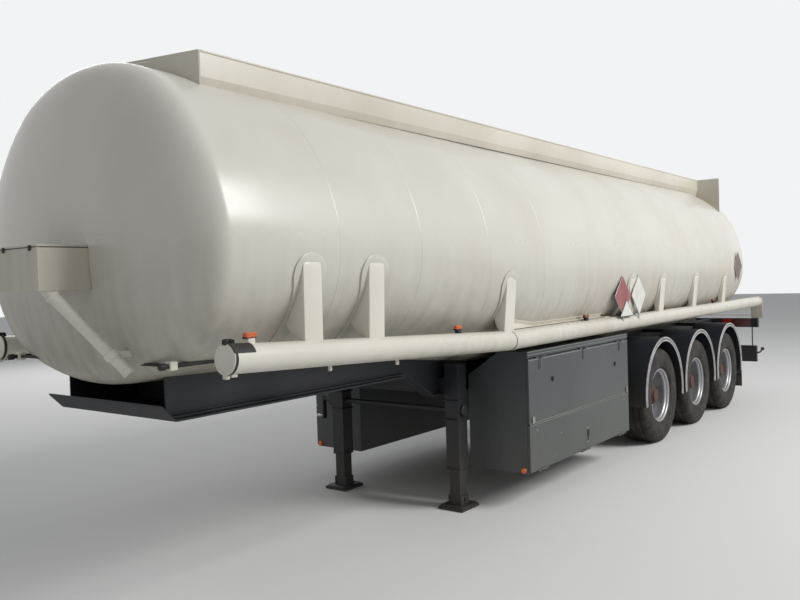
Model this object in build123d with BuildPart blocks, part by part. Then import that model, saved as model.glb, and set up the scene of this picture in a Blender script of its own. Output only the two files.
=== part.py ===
from build123d import *
from math import atan2, cos, degrees, radians, sin, sqrt
import os

# A three-axle fuel-tank semi-trailer, parked on its landing legs. Millimetres.
# X runs forward to the coupling, Y to the trailer's left, Z up from the ground.
# The origin is on the ground in the middle of the trailer's length and width.

# Running gear
axle_count = 3
axle_spacing = 1310
first_axle_x = -1125
tyre_radius = 530
tyre_width = 385
track_half = 1020
rim_flange_radius = 300
rim_seat_radius = 286
rim_half_width = 165
rim_wall = 9
rim_barrel_radius = 259
disc_thickness = 14
hub_radius = 112
hub_cap_radius = 70
hub_length = 118
hub_cap = 16
hub_bore_radius = 40
drum_radius = 205
drum_depth = 150
spindle_clearance = 0.4
hand_hole_count = 10
hand_hole_radius = 22
axle_tube_radius = 64
axle_tube_half = 838
axle_z = tyre_radius
axle_places = [first_axle_x - number * axle_spacing for number in range(axle_count)]

# Tank shell: an egg-shaped section of tangent arcs, carried along stations from the neck to the tail.
# Rises and drops are measured from the body's top and bottom, drawn-in widths from its half width.
body_half_width = 1250
body_top = 3225
body_bottom = 1120
body_x = 1735
neck_x = 5045
neck_narrowing = 34
neck_rise = 27
neck_floor_rise = 230
cone_x = 3455
cone_narrowing = 7
cone_rise = 13
cone_floor_rise = 180
tail_cone_x = -4025
tail_x = -4650
tail_narrowing = 42
tail_drop = 50
tail_floor_rise = 45
front_head_depth = 300
rear_head_depth = 420
crown_beyond = 90
side_beyond = 57
shoulder_arc = 594
bilge_arc = 720
belly_arc = 2120
side_arc_drop = 1225
crown_arc = body_half_width + crown_beyond
side_arc = body_half_width + side_beyond
side_arc_z = body_top - side_arc_drop

# Chassis rails, from the tail to the coupling skid
rail_y = 500
rail_web = 12
rail_flange_width = 120
rail_flange = 14
rail_bottom = 950
rail_rear_x = -5500
rail_step_x = 2420
rail_rise_x = 2800
skid_bottom = 1160
skid_front_x = 5000
skid_thickness = 12
skid_half_width = 600
rail_saddle_z = 1520
rail_tail_height = 205
rail_tail_gap = 60

# Kingpin, the two-inch size
kingpin_x = 4025
kingpin_collar_radius = 35.75
kingpin_neck_radius = 25.4
kingpin_shank_length = 35
kingpin_neck_length = 35
kingpin_collar_length = 14

# Side tubes and their legs
tube_y = 1180
tube_radius = 75
tube_z = 1415
tube_joint_x = 2235
tube_rear_x = -5560
hose_tube_radius = 78
hose_tube_front_x = 5100
hose_tube_front_z = 1545
hose_tube_wall = 5
collar_radius = 81
collar_half_length = 25
tube_plate_radius = 88
tube_plate = 12
tube_plate_bottom = 1155
tube_cap_radius = 82
tube_cap_length = 26
cap_axis_height = 94
lid_gap = 0.3
barrel_radius = 8
fixed_barrel_radius = 5
barrel_length = 60
hinge_end_gap = 1
leaf = 4

# Equipment cabinets
cabinet_front_x = 1995
cabinet_rear_x = -145
cabinet_bottom = 290
cabinet_top = 1300
cabinet_face_y = 1200
cabinet_inner_y = 620
cabinet_inner_top = 1090
cabinet_roof_y = 930
cabinet_wall = 20
cabinet_shelf = 16
cabinet_shelf_z = 690
cabinet_header = 60
door_thickness = 24
door_edge = 6
door_seam = 6
hinge_out = 6

# Coaming round the top fittings
coaming_y = 660
coaming_wall = 6
coaming_rise = 53
coaming_fold_drop = 100
coaming_skirt_y = 628
coaming_skirt_drop = 205
coaming_rear_drop = 525
coaming_front_x = 4793
coaming_rear_x = -4400
coaming_rear_half = 968
coaming_vee = 0.23
coaming_notch_half = 300
coaming_notch_depth = 16
coaming_top = body_top + coaming_rise
coaming_fold = body_top - coaming_fold_drop
coaming_skirt_bottom = body_top - coaming_skirt_drop
coaming_rear_bottom = body_top - coaming_rear_drop
coaming_notch_top = coaming_top - coaming_notch_depth

# Manholes
manhole_places = [3900, 1900, -700, -3000]
manhole_radius = 265
manhole_wall = 30
manhole_rise = 45
manhole_lid_radius = 250
manhole_lid_thickness = 20
manhole_depth = 90
lid_hinge_rise = 11
manhole_top = body_top + manhole_rise
lid_hinge_z = manhole_top + lid_hinge_rise


section_plane = Plane(origin=(0, 0, 0), x_dir=(0, 1, 0), z_dir=(1, 0, 0))
side_plane = Plane.XZ


def corner_centre(centre_a, reach_a, centre_b, reach_b):
    """Centre of the arc that runs smoothly from one large arc into another."""
    gap = centre_b - centre_a
    along = (reach_a**2 - reach_b**2 + gap.length**2) / (2 * gap.length)
    across = sqrt(reach_a**2 - along**2)
    unit = gap.normalized()
    side = Vector(-unit.Y, unit.X)
    first = centre_a + unit * along + side * across
    second = centre_a + unit * along - side * across
    return first if first.X > second.X else second


def heading(start, end):
    """Direction from one point of the section to another, in degrees."""
    return degrees(atan2(end.Y - start.Y, end.X - start.X))


def shell_arcs(half_width, top, bottom):
    """The right half of the section: centre, radius and the angles of each arc, from the crown down."""
    crown = Vector(0, top - crown_arc)
    side = Vector(half_width - side_arc, side_arc_z)
    belly = Vector(0, bottom + belly_arc)
    shoulder = corner_centre(crown, crown_arc - shoulder_arc, side, side_arc - shoulder_arc)
    bilge = corner_centre(belly, belly_arc - bilge_arc, side, side_arc - bilge_arc)
    crown_end = heading(crown, shoulder)
    side_start = heading(side, shoulder)
    side_end = heading(side, bilge)
    belly_start = heading(belly, bilge)
    return [
        (crown, crown_arc, 90, crown_end),
        (shoulder, shoulder_arc, crown_end, side_start),
        (side, side_arc, side_start, side_end),
        (bilge, bilge_arc, side_end, belly_start),
        (belly, belly_arc, belly_start, -90),
    ]


def shell_ring(x, half_width, top, bottom, share=1.0):
    """A face across the tank at x, drawn in by share about its middle."""
    middle = Vector(0, (top + bottom) / 2)
    with BuildSketch(section_plane.offset(x)) as ring:
        with BuildLine() as outline:
            for centre, radius, start, end in shell_arcs(half_width, top, bottom):
                drawn_in = middle + (centre - middle) * share
                CenterArc((drawn_in.X, drawn_in.Y), radius * share, start, end - start)
            mirror(about=Plane.YZ)
        make_face()
    return ring.sketch.face()


def shell_y(z, half_width, top, bottom):
    """Half width of the section at height z."""
    for centre, radius, start, end in shell_arcs(half_width, top, bottom):
        high = centre.Y + radius * sin(radians(start))
        low = centre.Y + radius * sin(radians(end))
        if low <= z <= high:
            return centre.X + sqrt(radius**2 - (z - centre.Y) ** 2)
    return 0


# Tank shell: two cones and a straight barrel, with a domed head at each end
# x, half width, top, bottom
stations = [
    (neck_x, body_half_width - neck_narrowing, body_top + neck_rise, body_bottom + neck_floor_rise),
    (cone_x, body_half_width - cone_narrowing, body_top + cone_rise, body_bottom + cone_floor_rise),
    (body_x, body_half_width, body_top, body_bottom),
    (tail_cone_x, body_half_width, body_top, body_bottom),
    (tail_x, body_half_width - tail_narrowing, body_top - tail_drop, body_bottom + tail_floor_rise),
]
# share of the head's depth, share of the ring's size
dome_profile = [(0.0, 1.0), (0.361, 0.949), (0.657, 0.797), (0.872, 0.555), (0.968, 0.317), (0.999, 0.082)]

with BuildPart() as tank_shell:
    for front, rear in zip(stations[:-1], stations[1:]):
        loft(sections=[shell_ring(*front), shell_ring(*rear)], ruled=True)
    for station, depth in ((stations[0], front_head_depth), (stations[-1], -rear_head_depth)):
        x, half_width, top, bottom = station
        rings = [shell_ring(x + depth * out, half_width, top, bottom, size) for out, size in dome_profile]
        loft(sections=rings)
tank_shell.part.label = "tank_shell"

# Chassis rails: a web with a flange below, saddled to the shell, in a straight run and a raised neck,
# and the hangers of the axles
hanger_ahead = 480
hanger_half_length = 90
hanger_plate = 14
arm_width = 90
arm_top = 690
arm_bottom = axle_z + axle_tube_radius
arm_eye_z = 640
arm_eye_radius = 52
arm_tail = 520
arm_tail_top = 645
arm_tail_bottom = 600
spring_behind = 400
spring_radius = 140
spring_round = 45
spring_plate = 12
spring_plate_radius = 112
spring_piston_radius = 98
spring_piston_height = 110
hanger_bottom = arm_eye_z - 60

rail_line = [
    (rail_rear_x, rail_bottom),
    (rail_step_x, rail_bottom),
    (rail_rise_x, skid_bottom + skid_thickness),
]
neck_line = [
    (rail_rise_x, skid_bottom + skid_thickness),
    (skid_front_x, skid_bottom + skid_thickness),
]


def rail_faces(line):
    """Faces of the web and of the flange of a rail whose underside follows the line."""
    upper = [(x, z + rail_flange) for x, z in line]
    with BuildSketch(side_plane.offset(-rail_y)) as web:
        with BuildLine():
            Polyline(*line, (line[-1][0], rail_saddle_z), (line[0][0], rail_saddle_z), close=True)
        make_face()
    with BuildSketch(side_plane.offset(-rail_y)) as flange:
        with BuildLine():
            Polyline(*line, *reversed(upper), close=True)
        make_face()
    return web.sketch, flange.sketch


with BuildPart() as chassis_rails:
    web_face, flange_face = rail_faces(rail_line)
    extrude(web_face, amount=rail_web / 2, both=True)
    extrude(flange_face, amount=rail_flange_width / 2, both=True)
    # behind the tank the web is cut down level
    with Locations((rail_rear_x, rail_y, rail_bottom + rail_tail_height)):
        Box(
            tail_x - rail_tail_gap - rail_rear_x,
            rail_flange_width,
            rail_saddle_z,
            align=(Align.MIN, Align.CENTER, Align.MIN),
            mode=Mode.SUBTRACT,
        )
    add(tank_shell.part, mode=Mode.SUBTRACT)
    mirror(about=Plane.XZ)
chassis_rails.part.label = "chassis_rails"

with BuildPart() as neck_rails:
    web_face, flange_face = rail_faces(neck_line)
    extrude(web_face, amount=rail_web / 2, both=True)
    extrude(flange_face, amount=rail_flange_width / 2, both=True)
    add(tank_shell.part, mode=Mode.SUBTRACT)
    mirror(about=Plane.XZ)
neck_rails.part.label = "neck_rails"

with BuildPart() as axle_hangers:
    with Locations(*[(x + hanger_ahead, rail_y, rail_bottom) for x in axle_places]):
        with Locations((0, arm_width / 2, 0), (0, -arm_width / 2 - hanger_plate, 0)):
            Box(
                2 * hanger_half_length,
                hanger_plate,
                rail_bottom - hanger_bottom,
                align=(Align.CENTER, Align.MIN, Align.MAX),
            )
    mirror(about=Plane.XZ)
axle_hangers.part.label = "axle_hangers"

# Cross members: channels between the rails and outriggers to the cabinets
cross_height = 110
cross_width = 60
cross_places = [-5400, -4600, -3330, -2020, -700, 300, 1500, 2300]
outrigger_places = [40, 925, 1810]

with BuildPart() as cross_members:
    with Locations(*[(x, 0, rail_bottom + rail_flange) for x in cross_places]):
        Box(
            cross_width,
            2 * rail_y - rail_web,
            cross_height,
            align=(Align.CENTER, Align.CENTER, Align.MIN),
        )
    with Locations(*[(x, rail_y + rail_web / 2, rail_bottom + rail_flange) for x in outrigger_places]):
        Box(
            cross_width,
            cabinet_inner_y - rail_y - rail_web / 2,
            cross_height,
            align=(Align.CENTER, Align.MIN, Align.MIN),
        )
    with Locations(*[(x, -rail_y - rail_web / 2, rail_bottom + rail_flange) for x in outrigger_places]):
        Box(
            cross_width,
            cabinet_inner_y - rail_y - rail_web / 2,
            cross_height,
            align=(Align.CENTER, Align.MAX, Align.MIN),
        )
cross_members.part.label = "cross_members"

# Coupling skid: the plate under the neck, with a nose bent up, and the kingpin below it
skid_rear_x = 2860
skid_nose = 90
skid_rib_gap = 500
with BuildPart() as coupling_skid:
    with BuildSketch(side_plane) as skid_profile:
        with BuildLine():
            Polyline(
                (skid_rear_x, skid_bottom),
                (skid_front_x, skid_bottom),
                (skid_front_x + skid_nose, skid_bottom + skid_nose),
                (skid_front_x + skid_nose, skid_bottom + skid_nose + skid_thickness),
                (skid_front_x, skid_bottom + skid_thickness),
                (skid_rear_x, skid_bottom + skid_thickness),
                close=True,
            )
        make_face()
    extrude(amount=skid_half_width, both=True)
    # cross ribs between the rails and out to the plate's sides
    rib_places = [kingpin_x - skid_rib_gap, kingpin_x, kingpin_x + skid_rib_gap]
    with Locations(*[(x, 0, skid_bottom + skid_thickness) for x in rib_places]):
        Box(
            rail_web,
            2 * rail_y - rail_flange_width,
            rail_saddle_z - skid_bottom,
            align=(Align.CENTER, Align.CENTER, Align.MIN),
        )
    add(tank_shell.part, mode=Mode.SUBTRACT)
coupling_skid.part.label = "coupling_skid"

with BuildPart() as kingpin:
    with BuildSketch(Plane.XY.offset(skid_bottom)):
        with Locations((kingpin_x, 0)):
            Circle(kingpin_collar_radius)
    extrude(amount=-kingpin_shank_length)
    with BuildSketch(Plane.XY.offset(skid_bottom - kingpin_shank_length)):
        with Locations((kingpin_x, 0)):
            Circle(kingpin_neck_radius)
    extrude(amount=-kingpin_neck_length)
    with BuildSketch(Plane.XY.offset(skid_bottom - kingpin_shank_length - kingpin_neck_length)):
        with Locations((kingpin_x, 0)):
            Circle(kingpin_collar_radius)
    extrude(amount=-kingpin_collar_length)
kingpin.part.label = "kingpin"

# Landing legs: outer box, inner leg, foot, the bracket to the rail, the cross shaft and its crank
leg_x = 2230
leg_y = 640
leg_box = 130
leg_inner = 104
leg_bottom = 320
foot_length = 260
foot_width = 240
foot_thickness = 24
leg_shaft_z = 820
leg_shaft_radius = 22
crank_length = 150
crank_drop = 190
with BuildPart() as landing_legs:
    with Locations((leg_x, leg_y, leg_bottom)):
        Box(
            leg_box,
            leg_box,
            rail_bottom + 2 * leg_box - leg_bottom,
            align=(Align.CENTER, Align.CENTER, Align.MIN),
        )
    with Locations((leg_x, leg_y, foot_thickness)):
        Box(leg_inner, leg_inner, leg_bottom - foot_thickness, align=(Align.CENTER, Align.CENTER, Align.MIN))
    with Locations((leg_x, leg_y, 0)):
        Box(foot_length, foot_width, foot_thickness, align=(Align.CENTER, Align.CENTER, Align.MIN))
    with Locations((leg_x, rail_y + rail_flange_width / 2, rail_bottom)):
        Box(
            leg_box,
            leg_y - leg_box / 2 - rail_y - rail_flange_width / 2,
            rail_flange,
            align=(Align.CENTER, Align.MIN, Align.MIN),
        )
    with Locations((leg_x, rail_y + rail_web / 2, rail_bottom + rail_flange)):
        Box(
            leg_box,
            leg_y - leg_box / 2 - rail_y - rail_web / 2,
            leg_box,
            align=(Align.CENTER, Align.MIN, Align.MIN),
        )
    add(tank_shell.part, mode=Mode.SUBTRACT)
    mirror(about=Plane.XZ)
    with BuildSketch(Plane.XZ.offset(-leg_y)):
        with Locations((leg_x, leg_shaft_z)):
            Circle(leg_shaft_radius)
    extrude(amount=2 * leg_y + leg_box / 2 + crank_length)
    with Locations((leg_x, -leg_y - leg_box / 2 - crank_length, leg_shaft_z + leg_shaft_radius)):
        Box(
            2 * leg_shaft_radius,
            leg_shaft_radius,
            crank_drop + leg_shaft_radius,
            align=(Align.CENTER, Align.MAX, Align.MAX),
        )
landing_legs.part.label = "landing_legs"

# Suspension: trailing arms under the rails, axle beams on them, air springs at their tails
with BuildPart() as trailing_arms:
    for x in axle_places:
        with BuildSketch(side_plane.offset(-rail_y)) as arm:
            with BuildLine():
                Polyline(
                    (x + hanger_ahead, arm_eye_z - arm_eye_radius),
                    (x + hanger_ahead, arm_eye_z + arm_eye_radius),
                    (x - axle_tube_radius, arm_top),
                    (x - spring_behind + spring_radius, arm_tail_top),
                    (x - arm_tail, arm_tail_top),
                    (x - arm_tail, arm_tail_bottom),
                    (x - axle_tube_radius, arm_bottom),
                    (x + axle_tube_radius, arm_bottom),
                    close=True,
                )
            make_face()
            with Locations((x + hanger_ahead, arm_eye_z)):
                Circle(arm_eye_radius)
        extrude(amount=arm_width / 2, both=True)
    mirror(about=Plane.XZ)
trailing_arms.part.label = "trailing_arms"

bellows_height = rail_bottom - arm_tail_top - spring_piston_height - spring_plate
with BuildPart() as air_springs:
    with Locations(*[(x - spring_behind, rail_y, arm_tail_top + spring_piston_height) for x in axle_places]):
        Cylinder(spring_radius, bellows_height, align=(Align.CENTER, Align.CENTER, Align.MIN))
    fillet(air_springs.edges().filter_by(GeomType.CIRCLE), spring_round)
    with Locations(*[(x - spring_behind, rail_y, arm_tail_top) for x in axle_places]):
        Cylinder(spring_piston_radius, spring_piston_height, align=(Align.CENTER, Align.CENTER, Align.MIN))
    with Locations(*[(x - spring_behind, rail_y, rail_bottom) for x in axle_places]):
        Cylinder(spring_plate_radius, spring_plate, align=(Align.CENTER, Align.CENTER, Align.MAX))
    mirror(about=Plane.XZ)
air_springs.part.label = "air_springs"

# Axle beams: tube, spindles, seats under the arms, brake chambers ahead
spindle_radius = hub_bore_radius - spindle_clearance
spindle_end_gap = 2
spindle_half = track_half + hub_length - hub_cap - spindle_end_gap
chamber_radius = 72
chamber_length = 150
chamber_y = 330
chamber_reach = 150
chamber_bracket = 30
with BuildPart() as axle_beams:
    for x in axle_places:
        with Locations(Location((x, 0, axle_z), (90, 0, 0))):
            Cylinder(axle_tube_radius, 2 * axle_tube_half)
            Cylinder(spindle_radius, 2 * spindle_half)
        with Locations((x, rail_y, axle_z), (x, -rail_y, axle_z)):
            Box(
                2 * axle_tube_radius,
                arm_width,
                axle_tube_radius,
                align=(Align.CENTER, Align.CENTER, Align.MIN),
            )
        with Locations((x, chamber_y, axle_z), (x, -chamber_y, axle_z)):
            Box(
                chamber_reach,
                chamber_bracket,
                2 * chamber_bracket,
                align=(Align.MIN, Align.CENTER, Align.CENTER),
            )
        with Locations(
            Location((x + chamber_reach, chamber_y, axle_z), (0, 90, 0)),
            Location((x + chamber_reach, -chamber_y, axle_z), (0, 90, 0)),
        ):
            Cylinder(chamber_radius, chamber_length, align=(Align.CENTER, Align.CENTER, Align.MIN))
axle_beams.part.label = "axle_beams"

# Wheels: a tyre on a deep-dished rim with its hub and drum, at each end of each axle
tread_half = tyre_width / 2
rim_inside_radius = rim_seat_radius - rim_wall
rim_slope = 4 * rim_wall
# distance from the wheel's axis, distance outwards from its middle plane
tyre_half_profile = [
    (rim_seat_radius, rim_half_width - rim_wall),
    (rim_flange_radius, rim_half_width - rim_wall),
    (rim_flange_radius + 24, tread_half - 16),
    (rim_flange_radius + 110, tread_half),
    (tyre_radius - 44, tread_half - 8),
    (tyre_radius - 9, tread_half - 32),
    (tyre_radius, tread_half - 60),
]
rim_profile = [
    (0, hub_length),
    (hub_cap_radius, hub_length),
    (hub_cap_radius, hub_length - hub_cap),
    (hub_radius, hub_length - 2 * hub_cap),
    (hub_radius, 0),
    (rim_barrel_radius, 0),
    (rim_barrel_radius, rim_half_width - rim_slope),
    (rim_inside_radius, rim_half_width - 3 * rim_wall),
    (rim_inside_radius, rim_half_width),
    (rim_flange_radius, rim_half_width),
    (rim_flange_radius, rim_half_width - rim_wall),
    (rim_seat_radius, rim_half_width - rim_wall),
    (rim_seat_radius, rim_wall - rim_half_width),
    (rim_flange_radius, rim_wall - rim_half_width),
    (rim_flange_radius, -rim_half_width),
    (rim_inside_radius, -rim_half_width),
    (rim_inside_radius, 3 * rim_wall - rim_half_width),
    (rim_barrel_radius, rim_slope - rim_half_width),
    (rim_barrel_radius, -disc_thickness),
    (drum_radius, -disc_thickness),
    (drum_radius, -drum_depth),
    (hub_bore_radius, -drum_depth),
    (hub_bore_radius, hub_length - hub_cap),
    (0, hub_length - hub_cap),
]
tyres = []
wheels = []
for number, axle_x in enumerate(axle_places, start=1):
    for side, side_name in ((1, "left"), (-1, "right")):
        hub_line = Axis((axle_x, side * track_half, axle_z), (0, side, 0))
        wheel_plane = Plane(origin=hub_line.position, x_dir=(0, 0, 1), z_dir=(-side, 0, 0))
        wheel_face = Plane(origin=hub_line.position, x_dir=(0, 0, 1), z_dir=(0, side, 0))
        inner_half = [(radius, -out) for radius, out in reversed(tyre_half_profile)]

        with BuildPart() as tyre:
            with BuildSketch(wheel_plane):
                with BuildLine():
                    Polyline(*tyre_half_profile, *inner_half, close=True)
                make_face()
            revolve(axis=hub_line)
        tyre.part.label = f"tyre_{side_name}_{number}"
        tyres.append(tyre)

        with BuildPart() as wheel:
            with BuildSketch(wheel_plane):
                with BuildLine():
                    Polyline(*rim_profile, close=True)
                make_face()
            revolve(axis=hub_line)
            # hand holes through the disc, between the drum and the barrel
            with BuildSketch(wheel_face.offset(disc_thickness / 2)):
                with PolarLocations((drum_radius + rim_barrel_radius) / 2, hand_hole_count):
                    Circle(hand_hole_radius)
            extrude(amount=-2 * disc_thickness, mode=Mode.SUBTRACT)
        wheel.part.label = f"wheel_{side_name}_{number}"
        wheels.append(wheel)

# Mudguards: a horseshoe of sheet over each wheel with a turned-down outer lip, and a tab below the last
# for the flap. A bar from the rail carries each arc.
guard_radius = 610
guard_rise = 50
guard_sheet = 6
guard_inner_y = 815
guard_outer_y = 1245
guard_half_angle = 100
guard_lip = 30
guard_bar = 40
flap_tab = 60
guard_z = axle_z + guard_rise
guard_end_x = guard_radius * sin(radians(guard_half_angle))
guard_end_z = guard_z + guard_radius * cos(radians(guard_half_angle))
flap_front_x = axle_places[-1] - guard_end_x
flap_top = guard_end_z - guard_sheet


def guard_face(x, inner, outer):
    """A ring open at the foot, over the wheel at x, seen from the trailer's right."""
    with BuildSketch(side_plane) as face:
        with BuildLine():
            over = CenterArc((x, guard_z), outer, 90 - guard_half_angle, 2 * guard_half_angle)
            under = CenterArc((x, guard_z), inner, 90 - guard_half_angle, 2 * guard_half_angle)
            Line(over @ 0, under @ 0)
            Line(over @ 1, under @ 1)
        make_face()
    return face.sketch


with BuildPart() as mudguards:
    for x in axle_places:
        sheet = guard_face(x, guard_radius - guard_sheet, guard_radius)
        lip = guard_face(x, guard_radius - guard_lip, guard_radius)
        extrude(sheet.moved(Location((0, guard_inner_y, 0))), amount=guard_inner_y - guard_outer_y)
        extrude(lip.moved(Location((0, guard_outer_y - guard_sheet, 0))), amount=-guard_sheet)
    with Locations((flap_front_x, guard_inner_y, guard_end_z + guard_sheet)):
        Box(
            guard_sheet,
            guard_outer_y - guard_inner_y,
            flap_tab,
            align=(Align.MIN, Align.MIN, Align.MAX),
        )
    mirror(about=Plane.XZ)
mudguards.part.label = "mudguards"

with BuildPart() as guard_bars:
    with Locations(*[(x, rail_y + rail_web / 2, guard_z + guard_radius - guard_sheet) for x in axle_places]):
        Box(
            guard_bar,
            guard_outer_y - guard_sheet - rail_y - rail_web / 2,
            guard_bar,
            align=(Align.CENTER, Align.MIN, Align.MAX),
        )
    mirror(about=Plane.XZ)
    add(mudguards.part, mode=Mode.SUBTRACT)
    add(tank_shell.part, mode=Mode.SUBTRACT)
guard_bars.part.label = "guard_bars"

flap_thickness = 8
flap_bottom = 238
with BuildPart() as mudflaps:
    with Locations((flap_front_x, guard_inner_y, flap_bottom)):
        Box(
            flap_thickness,
            guard_outer_y - guard_inner_y,
            flap_top - flap_bottom,
            align=(Align.MAX, Align.MIN, Align.MIN),
        )
    mirror(about=Plane.XZ)
mudflaps.part.label = "mudflaps"

# Side tubes: the closed rear tube of each side, with the collar of its joint and the arched end plate,
# and a bar across the tail between the plates
tail_bar_z = 1203
tail_bar_radius = 5
with BuildPart() as side_tubes:
    with Locations(Location((tube_rear_x, tube_y, tube_z), (0, 90, 0))):
        Cylinder(tube_radius, tube_joint_x - tube_rear_x, align=(Align.CENTER, Align.CENTER, Align.MIN))
        Cylinder(tube_plate_radius, tube_plate, align=(Align.CENTER, Align.CENTER, Align.MAX))
    with Locations((tube_rear_x, tube_y, tube_plate_bottom)):
        Box(
            tube_plate,
            2 * tube_plate_radius,
            tube_z - tube_plate_bottom,
            align=(Align.MAX, Align.CENTER, Align.MIN),
        )
    with Locations(Location((tube_joint_x, tube_y, tube_z), (0, 90, 0))):
        Cylinder(collar_radius, 2 * collar_half_length)
    mirror(about=Plane.XZ)
    with Locations(Location((tube_rear_x - tube_plate / 2, 0, tail_bar_z), (90, 0, 0))):
        Cylinder(tail_bar_radius, 2 * tube_y)
side_tubes.part.label = "side_tubes"

# Hose tubes: the hollow front tube of each side, rising from the joint's collar to its mouth
collar_front_x = tube_joint_x + collar_half_length
hose_run = Vector(hose_tube_front_x - tube_joint_x, 0, hose_tube_front_z - tube_z)
mouth_plane = Plane(
    origin=(hose_tube_front_x, tube_y, hose_tube_front_z),
    x_dir=(0, 1, 0),
    z_dir=hose_run,
)
cap_barrel_length = 36
cap_lug_length = 12
cap_lug_reach = 14
with BuildPart() as hose_rods:
    with BuildSketch(mouth_plane):
        Circle(hose_tube_radius)
    extrude(amount=-hose_run.length)
    split(bisect_by=Plane.YZ.offset(collar_front_x), keep=Keep.TOP)
    mirror(about=Plane.XZ)

lug_middle = (cap_barrel_length + cap_lug_length) / 2 + hinge_end_gap
hose_tubes = []
tube_caps = []
for side, side_name in ((1, "left"), (-1, "right")):
    cap_plane = Plane(
        origin=(hose_tube_front_x, side * tube_y, hose_tube_front_z),
        x_dir=(0, 1, 0),
        z_dir=hose_run,
    )
    with BuildPart() as hose_tube:
        with BuildSketch(cap_plane):
            Circle(hose_tube_radius)
        extrude(amount=-hose_run.length)
        split(bisect_by=Plane.YZ.offset(collar_front_x), keep=Keep.TOP)
        # lugs that hold the cap's hinge
        with BuildSketch(cap_plane):
            with Locations((lug_middle, hose_tube_radius), (-lug_middle, hose_tube_radius)):
                Rectangle(cap_lug_length, 2 * (cap_axis_height - hose_tube_radius))
        extrude(amount=-cap_lug_reach)
        with BuildSketch(cap_plane):
            Circle(hose_tube_radius - hose_tube_wall)
        extrude(amount=-hose_run.length, mode=Mode.SUBTRACT)
        for across in (lug_middle, -lug_middle):
            barrel_plane = Plane(
                origin=cap_plane.from_local_coords((across, cap_axis_height, 0)),
                x_dir=(0, 0, 1),
                z_dir=(0, 1, 0),
            )
            with BuildSketch(barrel_plane):
                Circle(fixed_barrel_radius)
            extrude(amount=cap_lug_length / 2, both=True)
    hose_tube.part.label = f"hose_tube_{side_name}"
    hose_tubes.append(hose_tube)

    with BuildPart() as tube_cap:
        with BuildSketch(cap_plane.offset(lid_gap)):
            Circle(tube_cap_radius)
            with Locations((0, (tube_cap_radius + cap_axis_height) / 2)):
                Rectangle(cap_barrel_length, cap_axis_height - tube_cap_radius + 2 * barrel_radius)
        extrude(amount=tube_cap_length)
        with BuildSketch(
            Plane(
                origin=cap_plane.from_local_coords((0, cap_axis_height, 0)),
                x_dir=(0, 0, 1),
                z_dir=(0, 1, 0),
            )
        ):
            Circle(barrel_radius)
        extrude(amount=cap_barrel_length / 2, both=True)
    tube_cap.part.label = f"tube_cap_{side_name}"
    tube_caps.append(tube_cap)

# Legs that carry the tubes: x, height of the rounded top
leg_places = [
    (4495, 2037),
    (3935, 2030),
    (2302, 1911),
    (-225, 1860),
    (-1142, 1855),
    (-2336, 1861),
    (-3614, 1843),
]
support_width = 150
support_proud = 10
support_foot_y = 1130
support_foot_drop = 50
support_inner_y = 600
shelf_front_x = 2227
shelf_rear_x = 75
shelf_top = 1498
shelf_sheet = 8
shelf_outer_y = 1150
shelf_lip = 40


def tube_height(x):
    """Height of the tube's middle at x."""
    along = max(0, x - tube_joint_x) / (hose_tube_front_x - tube_joint_x)
    return tube_z + along * (hose_tube_front_z - tube_z)


def shell_at(x):
    """Half width, top and bottom of the shell at x."""
    for front, rear in zip(stations[:-1], stations[1:]):
        if rear[0] <= x <= front[0]:
            share = (x - rear[0]) / (front[0] - rear[0])
            return [low + share * (high - low) for high, low in zip(front[1:], rear[1:])]
    return stations[-1][1:]


with BuildPart() as side_supports:
    for x, top_z in leg_places:
        top_y = shell_y(top_z, *shell_at(x)) + support_proud
        foot_z = tube_height(x) - support_foot_drop
        with BuildSketch(section_plane.offset(x)):
            with BuildLine():
                Polyline(
                    (support_inner_y, top_z),
                    (top_y, top_z),
                    (support_foot_y, foot_z),
                    (support_inner_y, foot_z),
                    close=True,
                )
            make_face()
        extrude(amount=support_width / 2, both=True)
    # the tops are rounded as seen from the side
    with BuildSketch(side_plane):
        for x, top_z in leg_places:
            with Locations((x, top_z - support_width / 2)):
                Circle(support_width / 2)
            with Locations((x, top_z - support_width / 2)):
                Rectangle(support_width, top_z, align=(Align.CENTER, Align.MAX))
    extrude(amount=-2 * tube_y, mode=Mode.INTERSECT)
    add(tank_shell.part, mode=Mode.SUBTRACT)
    mirror(about=Plane.XZ)
    add(side_tubes.part, mode=Mode.SUBTRACT)
    add(hose_rods.part, mode=Mode.SUBTRACT)
side_supports.part.label = "side_supports"

# Shelf over the tube behind the third leg
with BuildPart() as tube_shelves:
    with Locations((shelf_rear_x, support_inner_y, shelf_top)):
        Box(
            shelf_front_x - shelf_rear_x,
            shelf_outer_y - support_inner_y,
            shelf_sheet,
            align=(Align.MIN, Align.MIN, Align.MAX),
        )
    with Locations((shelf_rear_x, shelf_outer_y, shelf_top)):
        Box(
            shelf_front_x - shelf_rear_x,
            shelf_sheet,
            shelf_lip,
            align=(Align.MIN, Align.MAX, Align.MAX),
        )
    add(tank_shell.part, mode=Mode.SUBTRACT)
    mirror(about=Plane.XZ)
    add(side_tubes.part, mode=Mode.SUBTRACT)
tube_shelves.part.label = "tube_shelves"

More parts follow.
